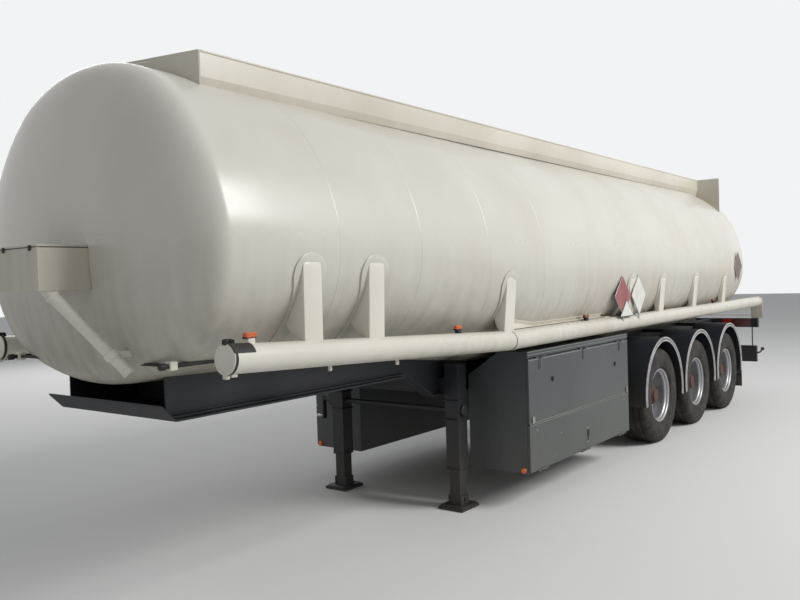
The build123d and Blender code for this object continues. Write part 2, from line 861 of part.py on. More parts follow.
# Coaming: a wall each side of the top fittings, folded in at the foot, with a vee wall ahead and a
# plate across the tail
with BuildPart() as coaming_sides:
    with BuildSketch(section_plane.offset(coaming_rear_x)):
        with BuildLine():
            Polyline(
                (coaming_y, coaming_top),
                (coaming_y, coaming_fold),
                (coaming_skirt_y, coaming_skirt_bottom),
                (coaming_skirt_y - coaming_wall, coaming_skirt_bottom),
                (coaming_y - coaming_wall, coaming_fold),
                (coaming_y - coaming_wall, coaming_top),
                close=True,
            )
        make_face()
    extrude(amount=coaming_front_x - coaming_rear_x)
    add(tank_shell.part, mode=Mode.SUBTRACT)
    mirror(about=Plane.XZ)
coaming_sides.part.label = "coaming_sides"

vee_apex_x = coaming_front_x + coaming_vee * coaming_y
with BuildPart() as coaming_ends:
    with BuildSketch(Plane.XY.offset(coaming_skirt_bottom)):
        with BuildLine():
            Polyline(
                (coaming_front_x, coaming_y),
                (vee_apex_x, 0),
                (coaming_front_x, -coaming_y),
                (coaming_front_x + coaming_wall, -coaming_y),
                (vee_apex_x + coaming_wall, 0),
                (coaming_front_x + coaming_wall, coaming_y),
                close=True,
            )
        make_face()
    extrude(amount=coaming_top - coaming_skirt_bottom)
    with Locations((coaming_front_x, 0, coaming_notch_top)):
        Box(
            vee_apex_x,
            2 * coaming_notch_half,
            coaming_top,
            align=(Align.MIN, Align.CENTER, Align.MIN),
            mode=Mode.SUBTRACT,
        )
    with Locations((coaming_rear_x, 0, coaming_rear_bottom)):
        Box(
            coaming_wall,
            2 * coaming_rear_half,
            coaming_top - coaming_rear_bottom,
            align=(Align.MAX, Align.CENTER, Align.MIN),
        )
    add(tank_shell.part, mode=Mode.SUBTRACT)
coaming_ends.part.label = "coaming_ends"

# Walkway: a plank beside the manholes on feet
walk_inner_y = 340
walk_outer_y = 600
walk_drop = 17
walk_bottom = body_top - walk_drop
walk_thickness = 24
walk_rear_x = -4200
walk_front_x = 4500
walk_foot = 40
walk_foot_count = 7
walk_foot_gap = (walk_front_x - walk_foot - walk_rear_x) / (walk_foot_count - 1)
with BuildPart() as walkway:
    with Locations((walk_rear_x, walk_inner_y, walk_bottom)):
        Box(
            walk_front_x - walk_rear_x,
            walk_outer_y - walk_inner_y,
            walk_thickness,
            align=(Align.MIN, Align.MIN, Align.MIN),
        )
    for number in range(walk_foot_count):
        for y in (walk_inner_y, walk_outer_y - walk_foot):
            with Locations((walk_rear_x + number * walk_foot_gap, y, walk_bottom)):
                Box(
                    walk_foot,
                    walk_foot,
                    walk_bottom - coaming_skirt_bottom,
                    align=(Align.MIN, Align.MIN, Align.MAX),
                )
    add(tank_shell.part, mode=Mode.SUBTRACT)
walkway.part.label = "walkway"

# Manhole collars along the crown, and the vapour pipe beside them with a branch to each collar
vapour_y = -450
vapour_drop = 11
vapour_z = body_top - vapour_drop
vapour_radius = 30
branch_radius = 26
vapour_rear_x = -4200
vapour_front_x = 4350
vapour_foot = 50
hinge_back = 14
hinge_block = 44
with BuildPart() as manhole_necks:
    with Locations(*[(x, 0, manhole_top) for x in manhole_places]):
        Cylinder(manhole_radius, manhole_depth, align=(Align.CENTER, Align.CENTER, Align.MAX))
        Cylinder(
            manhole_radius - manhole_wall,
            manhole_depth,
            align=(Align.CENTER, Align.CENTER, Align.MAX),
            mode=Mode.SUBTRACT,
        )
    # fixed halves of the lid hinges, each on an upright from a block behind the collar
    for x in manhole_places:
        for y in (-barrel_length, barrel_length):
            with Locations((x - manhole_radius - hinge_back - fixed_barrel_radius, y, manhole_top - leaf)):
                Box(
                    hinge_block,
                    barrel_length - 2 * hinge_end_gap,
                    manhole_wall,
                    align=(Align.MIN, Align.CENTER, Align.MAX),
                )
            with Locations((x - manhole_radius - hinge_back, y, manhole_top - 2 * leaf)):
                Box(
                    leaf,
                    barrel_length - 2 * hinge_end_gap,
                    lid_hinge_z - manhole_top + 2 * leaf,
                    align=(Align.CENTER, Align.CENTER, Align.MIN),
                )
            with Locations(Location((x - manhole_radius - hinge_back, y, lid_hinge_z), (90, 0, 0))):
                Cylinder(fixed_barrel_radius, barrel_length - 2 * hinge_end_gap)
    add(tank_shell.part, mode=Mode.SUBTRACT)
manhole_necks.part.label = "manhole_necks"

with BuildPart() as vapour_pipe:
    for x in manhole_places:
        with Locations(Location((x, -manhole_radius + manhole_wall / 2, vapour_z), (90, 0, 0))):
            Cylinder(
                branch_radius,
                manhole_wall / 2 - manhole_radius - vapour_y,
                align=(Align.CENTER, Align.CENTER, Align.MIN),
            )
    with Locations(Location((vapour_rear_x, vapour_y, vapour_z), (0, 90, 0))):
        Cylinder(vapour_radius, vapour_front_x - vapour_rear_x, align=(Align.CENTER, Align.CENTER, Align.MIN))
    with Locations((vapour_rear_x, vapour_y, vapour_z), (vapour_front_x, vapour_y, vapour_z)):
        Box(
            vapour_foot,
            vapour_foot,
            vapour_z - coaming_skirt_bottom,
            align=(Align.CENTER, Align.CENTER, Align.MAX),
        )
    add(tank_shell.part, mode=Mode.SUBTRACT)
    add(manhole_necks.part, mode=Mode.SUBTRACT)
vapour_pipe.part.label = "vapour_pipe"

manhole_lids = []
for number, x in enumerate(manhole_places, start=1):
    with BuildPart() as manhole_lid:
        with Locations((x, 0, manhole_top + lid_gap)):
            Cylinder(
                manhole_lid_radius,
                manhole_lid_thickness,
                align=(Align.CENTER, Align.CENTER, Align.MIN),
            )
        with Locations((x - manhole_radius - hinge_back, 0, lid_hinge_z)):
            Box(
                manhole_radius,
                barrel_length,
                barrel_radius,
                align=(Align.MIN, Align.CENTER, Align.MIN),
            )
        with Locations(Location((x - manhole_radius - hinge_back, 0, lid_hinge_z), (90, 0, 0))):
            Cylinder(barrel_radius, barrel_length)
    manhole_lid.part.label = f"manhole_lid_{number}"
    manhole_lids.append(manhole_lid)

# Cabinets: folded sheet with a sloping back to the roof, a shelf, and a header that the door hangs from
door_inner_y = cabinet_face_y - door_thickness
carcass_face_y = door_inner_y - lid_gap
hinge_y = cabinet_face_y + hinge_out
upper_hinge_z = cabinet_top - cabinet_header
lower_hinge_z = cabinet_bottom + 10
header_face_y = cabinet_face_y - 10
cabinet_middle_x = (cabinet_front_x + cabinet_rear_x) / 2
door_barrel_reach = [-856, 0, 856]
door_barrel_places = [cabinet_middle_x + reach for reach in door_barrel_reach]
seam_z = cabinet_shelf_z + cabinet_shelf / 2


def beside(places, length):
    """Places just ahead of and behind each of the given ones."""
    return [x + side * (length + hinge_end_gap) for x in places for side in (1, -1)]


with BuildPart() as cabinet_left:
    with BuildSketch(section_plane.offset(cabinet_rear_x)):
        with BuildLine():
            Polyline(
                (cabinet_inner_y, cabinet_bottom),
                (carcass_face_y, cabinet_bottom),
                (carcass_face_y, upper_hinge_z + door_edge),
                (header_face_y, upper_hinge_z + door_edge),
                (header_face_y, cabinet_top),
                (cabinet_roof_y, cabinet_top),
                (cabinet_inner_y, cabinet_inner_top),
                close=True,
            )
        make_face()
    extrude(amount=cabinet_front_x - cabinet_rear_x)
    roof_slope = (cabinet_top - cabinet_inner_top) / (cabinet_roof_y - cabinet_inner_y)
    roof_run = cabinet_roof_y - cabinet_inner_y - cabinet_wall / 2
    with BuildSketch(section_plane.offset(cabinet_rear_x + cabinet_wall)):
        with BuildLine():
            Polyline(
                (cabinet_inner_y + cabinet_wall, cabinet_bottom + cabinet_wall),
                (carcass_face_y, cabinet_bottom + cabinet_wall),
                (carcass_face_y, upper_hinge_z - cabinet_wall),
                (carcass_face_y - cabinet_wall, upper_hinge_z - cabinet_wall),
                (carcass_face_y - cabinet_wall, cabinet_top - cabinet_wall),
                (cabinet_roof_y + cabinet_wall / 2, cabinet_top - cabinet_wall),
                (
                    cabinet_inner_y + cabinet_wall,
                    cabinet_top - cabinet_wall - roof_run * roof_slope,
                ),
                close=True,
            )
        make_face()
    extrude(amount=cabinet_front_x - cabinet_rear_x - 2 * cabinet_wall, mode=Mode.SUBTRACT)
    with Locations((cabinet_rear_x, cabinet_inner_y, cabinet_shelf_z)):
        Box(
            cabinet_front_x - cabinet_rear_x,
            carcass_face_y - cabinet_inner_y,
            cabinet_shelf,
            align=(Align.MIN, Align.MIN, Align.MIN),
        )
    # fixed halves of the hinges, each on a leaf from the carcass
    for x in beside(door_barrel_places, barrel_length):
        for z, away in ((upper_hinge_z, 1), (lower_hinge_z, -1)):
            with Locations(Location((x, hinge_y, z), (0, 90, 0))):
                Cylinder(fixed_barrel_radius, barrel_length)
            with Locations((x, carcass_face_y - leaf, z + away * (door_edge + leaf / 2))):
                Box(
                    barrel_length,
                    hinge_y - carcass_face_y + leaf,
                    leaf,
                    align=(Align.CENTER, Align.MIN, Align.CENTER),
                )
            with Locations((x, hinge_y, z + away * (door_edge + leaf) / 2)):
                Box(barrel_length, leaf, door_edge + leaf)
cabinet_left.part.label = "cabinet_left"

with BuildPart() as cabinet_right:
    add(cabinet_left.part)
    mirror(about=Plane.XZ, mode=Mode.REPLACE)
cabinet_right.part.label = "cabinet_right"

# Doors: name, bottom, top, height of the hinge
door_table = [
    ("cabinet_door", seam_z + door_seam / 2, upper_hinge_z, upper_hinge_z),
    ("cabinet_flap", lower_hinge_z, seam_z - door_seam / 2, lower_hinge_z),
]
cabinet_doors = []
for name, bottom, top, hinge_z in door_table:
    for side, side_name in ((1, "left"), (-1, "right")):
        outwards = Align.MIN if side > 0 else Align.MAX
        with BuildPart() as door:
            with Locations((cabinet_rear_x + door_edge, side * door_inner_y, bottom)):
                Box(
                    cabinet_front_x - cabinet_rear_x - 2 * door_edge,
                    door_thickness,
                    top - bottom,
                    align=(Align.MIN, outwards, Align.MIN),
                )
            with Locations(*[Location((x, side * hinge_y, hinge_z), (0, 90, 0)) for x in door_barrel_places]):
                Cylinder(barrel_radius, barrel_length)
        door.part.label = f"{name}_{side_name}"
        cabinet_doors.append(door)

# Discharge pipes in the right cabinet, each with its coupling
discharge_places = [295, 715, 1135, 1555]
discharge_z = 930
discharge_radius = 54
coupling_radius = 76
coupling_length = 36
coupling_face_y = 1110
with BuildPart() as discharge_pipes:
    pipe_start_y = -cabinet_inner_y - cabinet_wall
    with Locations(*[Location((x, pipe_start_y, discharge_z), (90, 0, 0)) for x in discharge_places]):
        Cylinder(
            discharge_radius,
            coupling_face_y - cabinet_inner_y - cabinet_wall,
            align=(Align.CENTER, Align.CENTER, Align.MIN),
        )
    with Locations(*[Location((x, -coupling_face_y, discharge_z), (90, 0, 0)) for x in discharge_places]):
        Cylinder(coupling_radius, coupling_length, align=(Align.CENTER, Align.CENTER, Align.MAX))
discharge_pipes.part.label = "discharge_pipes"

# Tail: light board across the rails' ends, lamps on it, underrun bumper below, ladder behind the head
board_half = 1220
board_bottom = 1015
board_top = 1157
board_thickness = 20
board_side = 12
board_side_length = 60
with BuildPart() as light_board:
    with Locations((rail_rear_x, 0, board_bottom)):
        Box(
            board_thickness,
            2 * board_half,
            board_top - board_bottom,
            align=(Align.MAX, Align.CENTER, Align.MIN),
        )
    with Locations(
        (rail_rear_x, board_half, board_bottom),
        (rail_rear_x, -board_half + board_side, board_bottom),
    ):
        Box(
            board_side_length,
            board_side,
            board_top - board_bottom,
            align=(Align.MIN, Align.MAX, Align.MIN),
        )
light_board.part.label = "light_board"

bumper_half = 1180
bumper_bottom = 473
bumper_top = 725
bumper_depth = 60
strut_width = 80
bumper_rod_y = 1120
bumper_rod_radius = 9
with BuildPart() as rear_bumper:
    with Locations((rail_rear_x, 0, bumper_bottom)):
        Box(
            bumper_depth,
            2 * bumper_half,
            bumper_top - bumper_bottom,
            align=(Align.MAX, Align.CENTER, Align.MIN),
        )
    with Locations((rail_rear_x, rail_y, bumper_top), (rail_rear_x, -rail_y, bumper_top)):
        Box(strut_width, strut_width, rail_bottom - bumper_top, align=(Align.MIN, Align.CENTER, Align.MIN))
    with Locations((rail_rear_x, rail_y, bumper_top), (rail_rear_x, -rail_y, bumper_top)):
        Box(strut_width + bumper_depth, strut_width, leaf, align=(Align.CENTER, Align.CENTER, Align.MIN))
    with Locations(
        (rail_rear_x - board_thickness / 2, bumper_rod_y, bumper_top),
        (rail_rear_x - board_thickness / 2, -bumper_rod_y, bumper_top),
    ):
        Cylinder(bumper_rod_radius, board_bottom - bumper_top, align=(Align.CENTER, Align.CENTER, Align.MIN))
rear_bumper.part.label = "rear_bumper"

lamp_depth = 38
lamp_length = 150
lamp_height = 110
lamp_places = [755, 930, 1105]
stalk_radius = 12
stalk_lamp_radius = 26
stalk_z = 610
stalk_rise = 60
stalk_end_x = -5599
stalk_end_y = 1245
with BuildPart() as tail_lamps:
    for y in lamp_places:
        with Locations((rail_rear_x - board_thickness, y, (board_bottom + board_top) / 2)):
            Box(lamp_depth, lamp_length, lamp_height, align=(Align.MAX, Align.CENTER, Align.CENTER))
    stalk_start = Vector(rail_rear_x - bumper_depth / 2, bumper_half, stalk_z)
    stalk_end = Vector(stalk_end_x, stalk_end_y, stalk_z + stalk_rise)
    stalk = stalk_end - stalk_start
    with BuildSketch(Plane(origin=stalk_start, z_dir=stalk)):
        Circle(stalk_radius)
    extrude(amount=stalk.length)
    with Locations(stalk_end):
        Sphere(stalk_lamp_radius)
    mirror(about=Plane.XZ)
    add(rear_bumper.part, mode=Mode.SUBTRACT)
tail_lamps.part.label = "tail_lamps"

ladder_x = -5400
ladder_radius = 16
rung_radius = 11
ladder_sides = (-460, -100)
ladder_top = body_top
ladder_bend = 180
rung_start = 1350
rung_gap = 300
rung_count = 6
with BuildPart() as rear_ladder:
    for y in ladder_sides:
        with BuildLine() as stile_line:
            FilletPolyline(
                (ladder_x, y, rail_bottom + rail_flange + cross_height),
                (ladder_x, y, ladder_top),
                (coaming_rear_x - coaming_wall, y, ladder_top),
                radius=ladder_bend,
            )
        with BuildSketch(Plane(origin=stile_line.line @ 0, z_dir=stile_line.line % 0)):
            Circle(ladder_radius)
        sweep()
    for number in range(rung_count):
        with Locations(
            Location((ladder_x, sum(ladder_sides) / 2, rung_start + number * rung_gap), (90, 0, 0))
        ):
            Cylinder(rung_radius, ladder_sides[1] - ladder_sides[0])
rear_ladder.part.label = "rear_ladder"

# Marker lamps on the tubes and at the cabinets' front corners
marker_places = [4951, 2981, 801, -1292, -3240]
marker_radius = 30
marker_base = 24
marker_height = 62
marker_rise = tube_radius + marker_height - marker_radius
with BuildPart() as marker_lamps:
    for x in marker_places:
        with Locations((x, tube_y, tube_height(x))):
            Cylinder(marker_base, marker_rise, align=(Align.CENTER, Align.CENTER, Align.MIN))
        with Locations(Location((x, tube_y, tube_height(x) + marker_rise), (90, 0, 0))):
            Cylinder(marker_radius, marker_base)
    corner_lamp = (cabinet_front_x, header_face_y - 2 * marker_base, cabinet_bottom + marker_radius)
    with Locations(Location(corner_lamp, (0, 90, 0))):
        Cylinder(marker_base, marker_base, align=(Align.CENTER, Align.CENTER, Align.MIN))
    mirror(about=Plane.XZ)
    add(side_tubes.part, mode=Mode.SUBTRACT)
    add(hose_rods.part, mode=Mode.SUBTRACT)
marker_lamps.part.label = "marker_lamps"

# Hazard plates: blank squares stood on a corner, two on posts behind the tube and one on the shell
plate_side = 300
plate_sheet = 4
plate_stand_off = 6
plate_y = body_half_width + plate_stand_off
plate_z = 1692
plate_places = [75, -355]
shell_plate_x = -4230
shell_plate_z = 1980
plate_post = 26
with BuildPart() as hazard_placards:
    for x in plate_places:
        with BuildSketch(side_plane.offset(-plate_y)):
            with Locations((x, plate_z)):
                Rectangle(plate_side, plate_side, rotation=45)
        extrude(amount=plate_sheet)
        with Locations((x, plate_y - plate_sheet, plate_z)):
            Box(plate_post, 2 * plate_sheet, plate_z - tube_z, align=(Align.CENTER, Align.MAX, Align.MAX))
    with BuildSketch(side_plane.offset(-plate_y)):
        with Locations((shell_plate_x, shell_plate_z)):
            Rectangle(plate_side, plate_side, rotation=45)
    extrude(amount=plate_sheet)
    with Locations((shell_plate_x, plate_y - plate_sheet, shell_plate_z)):
        Box(2 * plate_post, 2 * plate_post, 2 * plate_post, align=(Align.CENTER, Align.MAX, Align.CENTER))
    add(tank_shell.part, mode=Mode.SUBTRACT)
    mirror(about=Plane.XZ)
    add(side_tubes.part, mode=Mode.SUBTRACT)
hazard_placards.part.label = "hazard_placards"

# Front box on the head, and the pipe that runs down from it
front_box_face_x = 5625
front_box_inner_y = -90
front_box_outer_y = 330
front_box_bottom = 1920
front_box_top = 2165
with BuildPart() as front_box:
    with Locations((neck_x, front_box_inner_y, front_box_bottom)):
        Box(
            front_box_face_x - neck_x,
            front_box_outer_y - front_box_inner_y,
            front_box_top - front_box_bottom,
            align=(Align.MIN, Align.MIN, Align.MIN),
        )
    add(tank_shell.part, mode=Mode.SUBTRACT)
front_box.part.label = "front_box"

pipe_radius = 34
pipe_top = Vector(5562, 277, front_box_bottom)
pipe_end = Vector(5263, 550, 1470)
pipe_clamp = 60
pipe_clamp_share = 0.8
with BuildPart() as front_pipe:
    pipe_run = pipe_end - pipe_top
    with BuildSketch(Plane(origin=pipe_top - pipe_run.normalized() * pipe_radius, z_dir=pipe_run)):
        Circle(pipe_radius)
    extrude(amount=pipe_run.length + pipe_radius)
    split(bisect_by=Plane.XY.offset(front_box_bottom), keep=Keep.BOTTOM)
    with Locations(pipe_top + pipe_run * pipe_clamp_share):
        Box(6 * pipe_radius, pipe_clamp, pipe_clamp, align=(Align.MAX, Align.CENTER, Align.CENTER))
    add(tank_shell.part, mode=Mode.SUBTRACT)
front_pipe.part.label = "front_pipe"

# Air tanks slung under the cross members
air_tank_y = 210
air_tank_radius = 118
air_tank_rear_x = -800
air_tank_front_x = 400
air_tank_drop = 12
air_tank_saddles = [-700, 300]
with BuildPart() as air_tanks:
    tank_middle_z = rail_bottom + rail_flange - air_tank_drop - air_tank_radius
    for y in (air_tank_y, -air_tank_y):
        with Locations(Location((air_tank_rear_x, y, tank_middle_z), (0, 90, 0))):
            Cylinder(
                air_tank_radius,
                air_tank_front_x - air_tank_rear_x,
                align=(Align.CENTER, Align.CENTER, Align.MIN),
            )
        with Locations(*[(x, y, tank_middle_z) for x in air_tank_saddles]):
            Box(
                cross_width,
                air_tank_radius,
                air_tank_radius + air_tank_drop,
                align=(Align.CENTER, Align.CENTER, Align.MIN),
            )
air_tanks.part.label = "air_tanks"

pieces = [
    tank_shell,
    side_supports,
    tube_shelves,
    side_tubes,
    *hose_tubes,
    coaming_sides,
    coaming_ends,
    walkway,
    manhole_necks,
    vapour_pipe,
    chassis_rails,
    neck_rails,
    axle_hangers,
    cross_members,
    coupling_skid,
    kingpin,
    landing_legs,
    trailing_arms,
    axle_beams,
    air_springs,
    air_tanks,
    mudguards,
    guard_bars,
    mudflaps,
    cabinet_left,
    cabinet_right,
    discharge_pipes,
    light_board,
    rear_bumper,
    tail_lamps,
    rear_ladder,
    marker_lamps,
    hazard_placards,
    front_box,
    front_pipe,
    *tyres,
    *wheels,
    *tube_caps,
    *manhole_lids,
    *cabinet_doors,
]
os.makedirs("parts", exist_ok=True)
for piece in pieces:
    export_step(piece.part, f"parts/{piece.part.label}.step")
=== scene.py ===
from functools import partial
from math import cos, pi, radians, sin, sqrt

import bmesh
import bpy
import numpy as np
from mathutils import Matrix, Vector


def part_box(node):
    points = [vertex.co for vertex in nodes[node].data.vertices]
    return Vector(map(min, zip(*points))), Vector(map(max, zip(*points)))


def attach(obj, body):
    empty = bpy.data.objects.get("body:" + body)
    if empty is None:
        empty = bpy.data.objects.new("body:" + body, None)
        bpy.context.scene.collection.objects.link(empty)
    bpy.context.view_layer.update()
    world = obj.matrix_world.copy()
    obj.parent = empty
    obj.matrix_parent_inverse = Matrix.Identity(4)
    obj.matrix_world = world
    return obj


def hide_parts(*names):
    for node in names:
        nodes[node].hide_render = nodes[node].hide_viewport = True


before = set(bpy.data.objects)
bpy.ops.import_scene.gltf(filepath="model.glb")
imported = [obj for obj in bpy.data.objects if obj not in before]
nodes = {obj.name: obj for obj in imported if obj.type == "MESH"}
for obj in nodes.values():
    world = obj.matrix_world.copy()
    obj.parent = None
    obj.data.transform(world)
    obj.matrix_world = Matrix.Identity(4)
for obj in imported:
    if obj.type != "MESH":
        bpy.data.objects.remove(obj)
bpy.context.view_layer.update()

scene = bpy.context.scene
sides = (1, -1)
side_names = ((1, "left"), (-1, "right"))


# Camera
# The photograph's viewpoint: ahead of the trailer on its left side, at a standing person's height, with a
# lens of about 36 mm. The three angles come from the lines of the tank, its side tube and the axles.
def set_up(data, place, right, up, back):
    """Links an object that stands at place, with its axes along right, up and back."""
    thing = bpy.data.objects.new(data.name, data)
    axes = [[*right, 0], [*up, 0], [*back, 0], [*place, 1]]
    thing.matrix_world = Matrix(np.array(axes, float).T.tolist())
    scene.collection.objects.link(thing)
    return thing


yaw, pitch, roll = 0.6548, 0.0239, -0.0314
forward = np.array([-cos(yaw) * cos(pitch), -sin(yaw) * cos(pitch), -sin(pitch)])
level = np.cross(forward, [0, 0, 1])
level = level / np.linalg.norm(level)
above = np.cross(level, forward)
lens_data = bpy.data.cameras.new("camera")
lens_data.lens = 35.62
lens_data.clip_end = 200
scene.camera = set_up(lens_data, (7.742, 4.317, 1.914), cos(roll) * level + sin(roll) * above,
                      cos(roll) * above - sin(roll) * level, -forward)
scene.view_settings.view_transform = "Standard"


# Floor, backdrop and lights
# A plain pale floor under a pale sky, one large soft lamp high on the trailer's left and behind it, where
# the sun stands in the photograph, and weak ones ahead and on the far side, so that no side is black.
def linear(hex_code):
    """An sRGB hex colour as linear red, green, blue and alpha."""
    levels = np.array([int(hex_code[at:at + 2], 16) / 255 for at in (1, 3, 5)])
    high = ((levels + 0.055) / 1.055) ** 2.4
    return (*np.where(levels <= 0.04045, levels / 12.92, high).tolist(), 1.0)


def fill(node, *values, **named):
    """Fills a node's inputs: those in use in order, and others by name, with _ for a space. A value is plain,
    or a socket to link from, or a node that stands for its first output in use."""
    in_use = [socket for socket in node.inputs if socket.enabled]
    chosen = [(node.inputs[name.replace("_", " ")], value) for name, value in named.items()]
    for socket, value in [*zip(in_use, values), *chosen]:
        if isinstance(value, bpy.types.Node):
            value = next(output for output in value.outputs if output.enabled)
        if isinstance(value, bpy.types.NodeSocket):
            node.id_data.links.new(value, socket)
        else:
            socket.default_value = value


def add_node(tree, kind, *values, settings=(), **named):
    """Adds a node with its settings, and fills its inputs."""
    node = tree.nodes.new("ShaderNode" + kind)
    for name, value in dict(settings).items():
        setattr(node, name, value)
    fill(node, *values, **named)
    return node


world = bpy.data.worlds.new("pale_sky")
world.use_nodes = True
world.node_tree.nodes.clear()
add_sky = partial(add_node, world.node_tree)
maximum = {"operation": "MAXIMUM"}
seen = add_sky("LightPath")
direct = add_sky("Math", seen.outputs["Is Camera Ray"], seen.outputs["Is Transmission Ray"], settings=maximum)
shown = add_sky("Math", direct, seen.outputs["Is Glossy Ray"], settings=maximum)
lighting = add_sky("Background", linear("#F4F6FA"), 0.34)
backdrop = add_sky("Background", linear("#F2F3F4"), 1.0)
add_sky("OutputWorld", add_sky("MixShader", shown, lighting, backdrop))
scene.world = world

floor_reach = 60
floor_corners = [(a * floor_reach, b * floor_reach, 0) for a, b in ((-1, -1), (1, -1), (1, 1), (-1, 1))]
floor_mesh = bpy.data.meshes.new("floor")
floor_mesh.from_pydata(floor_corners, [], [(0, 1, 2, 3)])
floor_paint = bpy.data.materials.new("matt_studio_floor")
floor_paint.use_nodes = True
fill(floor_paint.node_tree.nodes["Principled BSDF"], Base_Color=linear("#E2E2E0"), Roughness=0.9)
floor_mesh.materials.append(floor_paint)
set_up(floor_mesh, (0, 0, 0), *np.eye(3))

lamp_table = [
    # name, place, aim, size, power
    ("key_lamp", (-3.0, 14.0, 11.0), (0.0, 0.0, 1.8), 7.0, 2250),
    ("front_lamp", (14.0, 3.0, 6.0), (4.0, 0.0, 1.5), 6.0, 45),
    ("far_lamp", (-4.0, -14.0, 8.0), (0.0, 0.0, 1.5), 8.0, 500),
]
for name, place, aim, size, power in lamp_table:
    light = bpy.data.lights.new(name, "AREA")
    light.size = size
    light.energy = power
    backwards = np.array(place) - np.array(aim)
    backwards = backwards / np.linalg.norm(backwards)
    sideways = np.cross([0, 0, 1], backwards)
    sideways = sideways / np.linalg.norm(sideways)
    set_up(light, place, sideways, np.cross(backwards, sideways), backwards)


# Tank shell
# A barrel of aluminium sheet rolled to an egg-like section, with two cones towards the neck and a pressed
# dome at each end, welded ring to ring and sprayed with off-white enamel that has dulled on the road. Its
# lower half darkens towards the belly: partly road film, partly painted shade where the shell turns under.
mixed_colour = {"data_type": "RGBA"}
multiply = {"operation": "MULTIPLY"}


def new_material(name):
    """An empty material for a slot: its shader, its Object coordinates, and add_node for its tree."""
    material = bpy.data.materials.new(name)
    material.use_nodes = True
    add = partial(add_node, material.node_tree)
    return material, material.node_tree.nodes["Principled BSDF"], add("TexCoord").outputs["Object"], add


def enamel(name, paint, faded, film_and_shade, film_and_shade_low, film_and_shade_high, film_and_shade_most=0.8, rough=0.28, hollow=0.06,
           chips=None, metallic=0.0):
    """Sprayed enamel. The paint fades in patches a metre across. A darker colour covers it from
    film_and_shade_high down to film_and_shade_low, drawn out upright by rain: road film, and where a piece
    says so, painted shade as well. Chips of 2 to 8 mm show what lies under the paint."""
    material, shader, place, add = new_material(name)
    fading = add("MapRange", add("TexNoise", place, 1 / 0.9, 4.0), 0.35, 0.70)
    colour = add("Mix", fading, linear(paint), linear(faded), settings=mixed_colour)
    # rain streaks 80 mm wide and more than a metre long
    drawn_out = add("Mapping", place, Scale=(1 / 0.08, 1 / 0.08, 1 / 1.3))
    streaks = add("MapRange", add("TexNoise", drawn_out, 1.0, 4.0), 0.30, 0.70, 0.50)
    rising = add("MapRange", add("SeparateXYZ", place).outputs["Z"], film_and_shade_high, film_and_shade_low, 0.0, film_and_shade_most,
                 settings={"interpolation_type": "SMOOTHSTEP"})
    film_and_shade_share = add("Math", rising, streaks, settings=multiply)
    colour = add("Mix", film_and_shade_share, colour, linear(film_and_shade), settings=mixed_colour)
    if chips:
        spots = add("Math", add("TexNoise", place, 1 / 0.012, 3.0), add("TexNoise", place, 1 / 0.25, 2.0),
                    settings=multiply)
        colour = add("Mix", add("MapRange", spots, 0.36, 0.42), colour, linear(chips), settings=mixed_colour)
    dulled = add("MapRange", film_and_shade_share, 0.0, 1.0, rough, min(rough + 0.35, 0.9))
    # shallow hollows a hand wide in the sheet, and the orange peel of the spray
    dents = add("Bump", Strength=hollow, Distance=0.02, Height=add("TexNoise", place, 1 / 0.45, 2.0))
    grain = add("TexNoise", place, 1 / 0.006, 2.0)
    peel = add("Bump", Strength=0.03, Distance=0.0005, Normal=dents, Height=grain)
    fill(shader, Base_Color=colour, Roughness=dulled, Normal=peel, Metallic=metallic)
    return material


def arc(centre, radius, start, end, steps):
    """Points of an arc from angle start to end, in degrees: centre plus radius times (cosine, sine)."""
    turn = np.radians(np.linspace(start, end, steps))
    return centre + radius * np.stack([np.cos(turn), np.sin(turn)], axis=1)


def corner_centre(centre_a, reach_a, centre_b, reach_b):
    """Centre of the arc that runs smoothly from one large arc into another: where two circles cross."""
    gap = centre_b - centre_a
    length = np.linalg.norm(gap)
    along = (reach_a**2 - reach_b**2 + length**2) / (2 * length)
    unit = gap / length
    across = np.array([-unit[1], unit[0]]) * sqrt(reach_a**2 - along**2)
    return max(centre_a + unit * along + across, centre_a + unit * along - across, key=lambda point: point[0])


def heading(start, end):
    """Direction from one point of the section to another, in degrees."""
    return np.degrees(np.arctan2(end[1] - start[1], end[0] - start[0]))


crown_arc, shoulder_arc, side_arc, bilge_arc, belly_arc = 1.340, 0.594, 1.307, 0.720, 2.120
side_arc_z = 2.000
stations = np.array([
    # x, half width, top, bottom
    (5.045, 1.216, 3.252, 1.350),
    (3.455, 1.243, 3.238, 1.300),
    (1.735, 1.250, 3.225, 1.120),
    (-4.025, 1.250, 3.225, 1.120),
    (-4.650, 1.208, 3.175, 1.165),
])
front_dome, rear_dome = 0.300, 0.420
dome_out_power, dome_size_power = 0.95, 0.85


def shell_half(half_width, top, bottom):
    """Left half of the tank's section, from the crown down to the belly, as five arcs that run together."""
    crown = np.array([0, top - crown_arc])
    side = np.array([half_width - side_arc, side_arc_z])
    belly = np.array([0, bottom + belly_arc])
    shoulder = corner_centre(crown, crown_arc - shoulder_arc, side, side_arc - shoulder_arc)
    bilge = corner_centre(belly, belly_arc - bilge_arc, side, side_arc - bilge_arc)
    bends = [90, heading(crown, shoulder), heading(side, shoulder), heading(side, bilge),
             heading(belly, bilge), -90]
    centres = [crown, shoulder, side, bilge, belly]
    radii = [crown_arc, shoulder_arc, side_arc, bilge_arc, belly_arc]
    runs = [arc(*values, 13)[:-1] for values in zip(centres, radii, bends[:-1], bends[1:])]
    return np.concatenate([*runs, [[0, bottom]]])


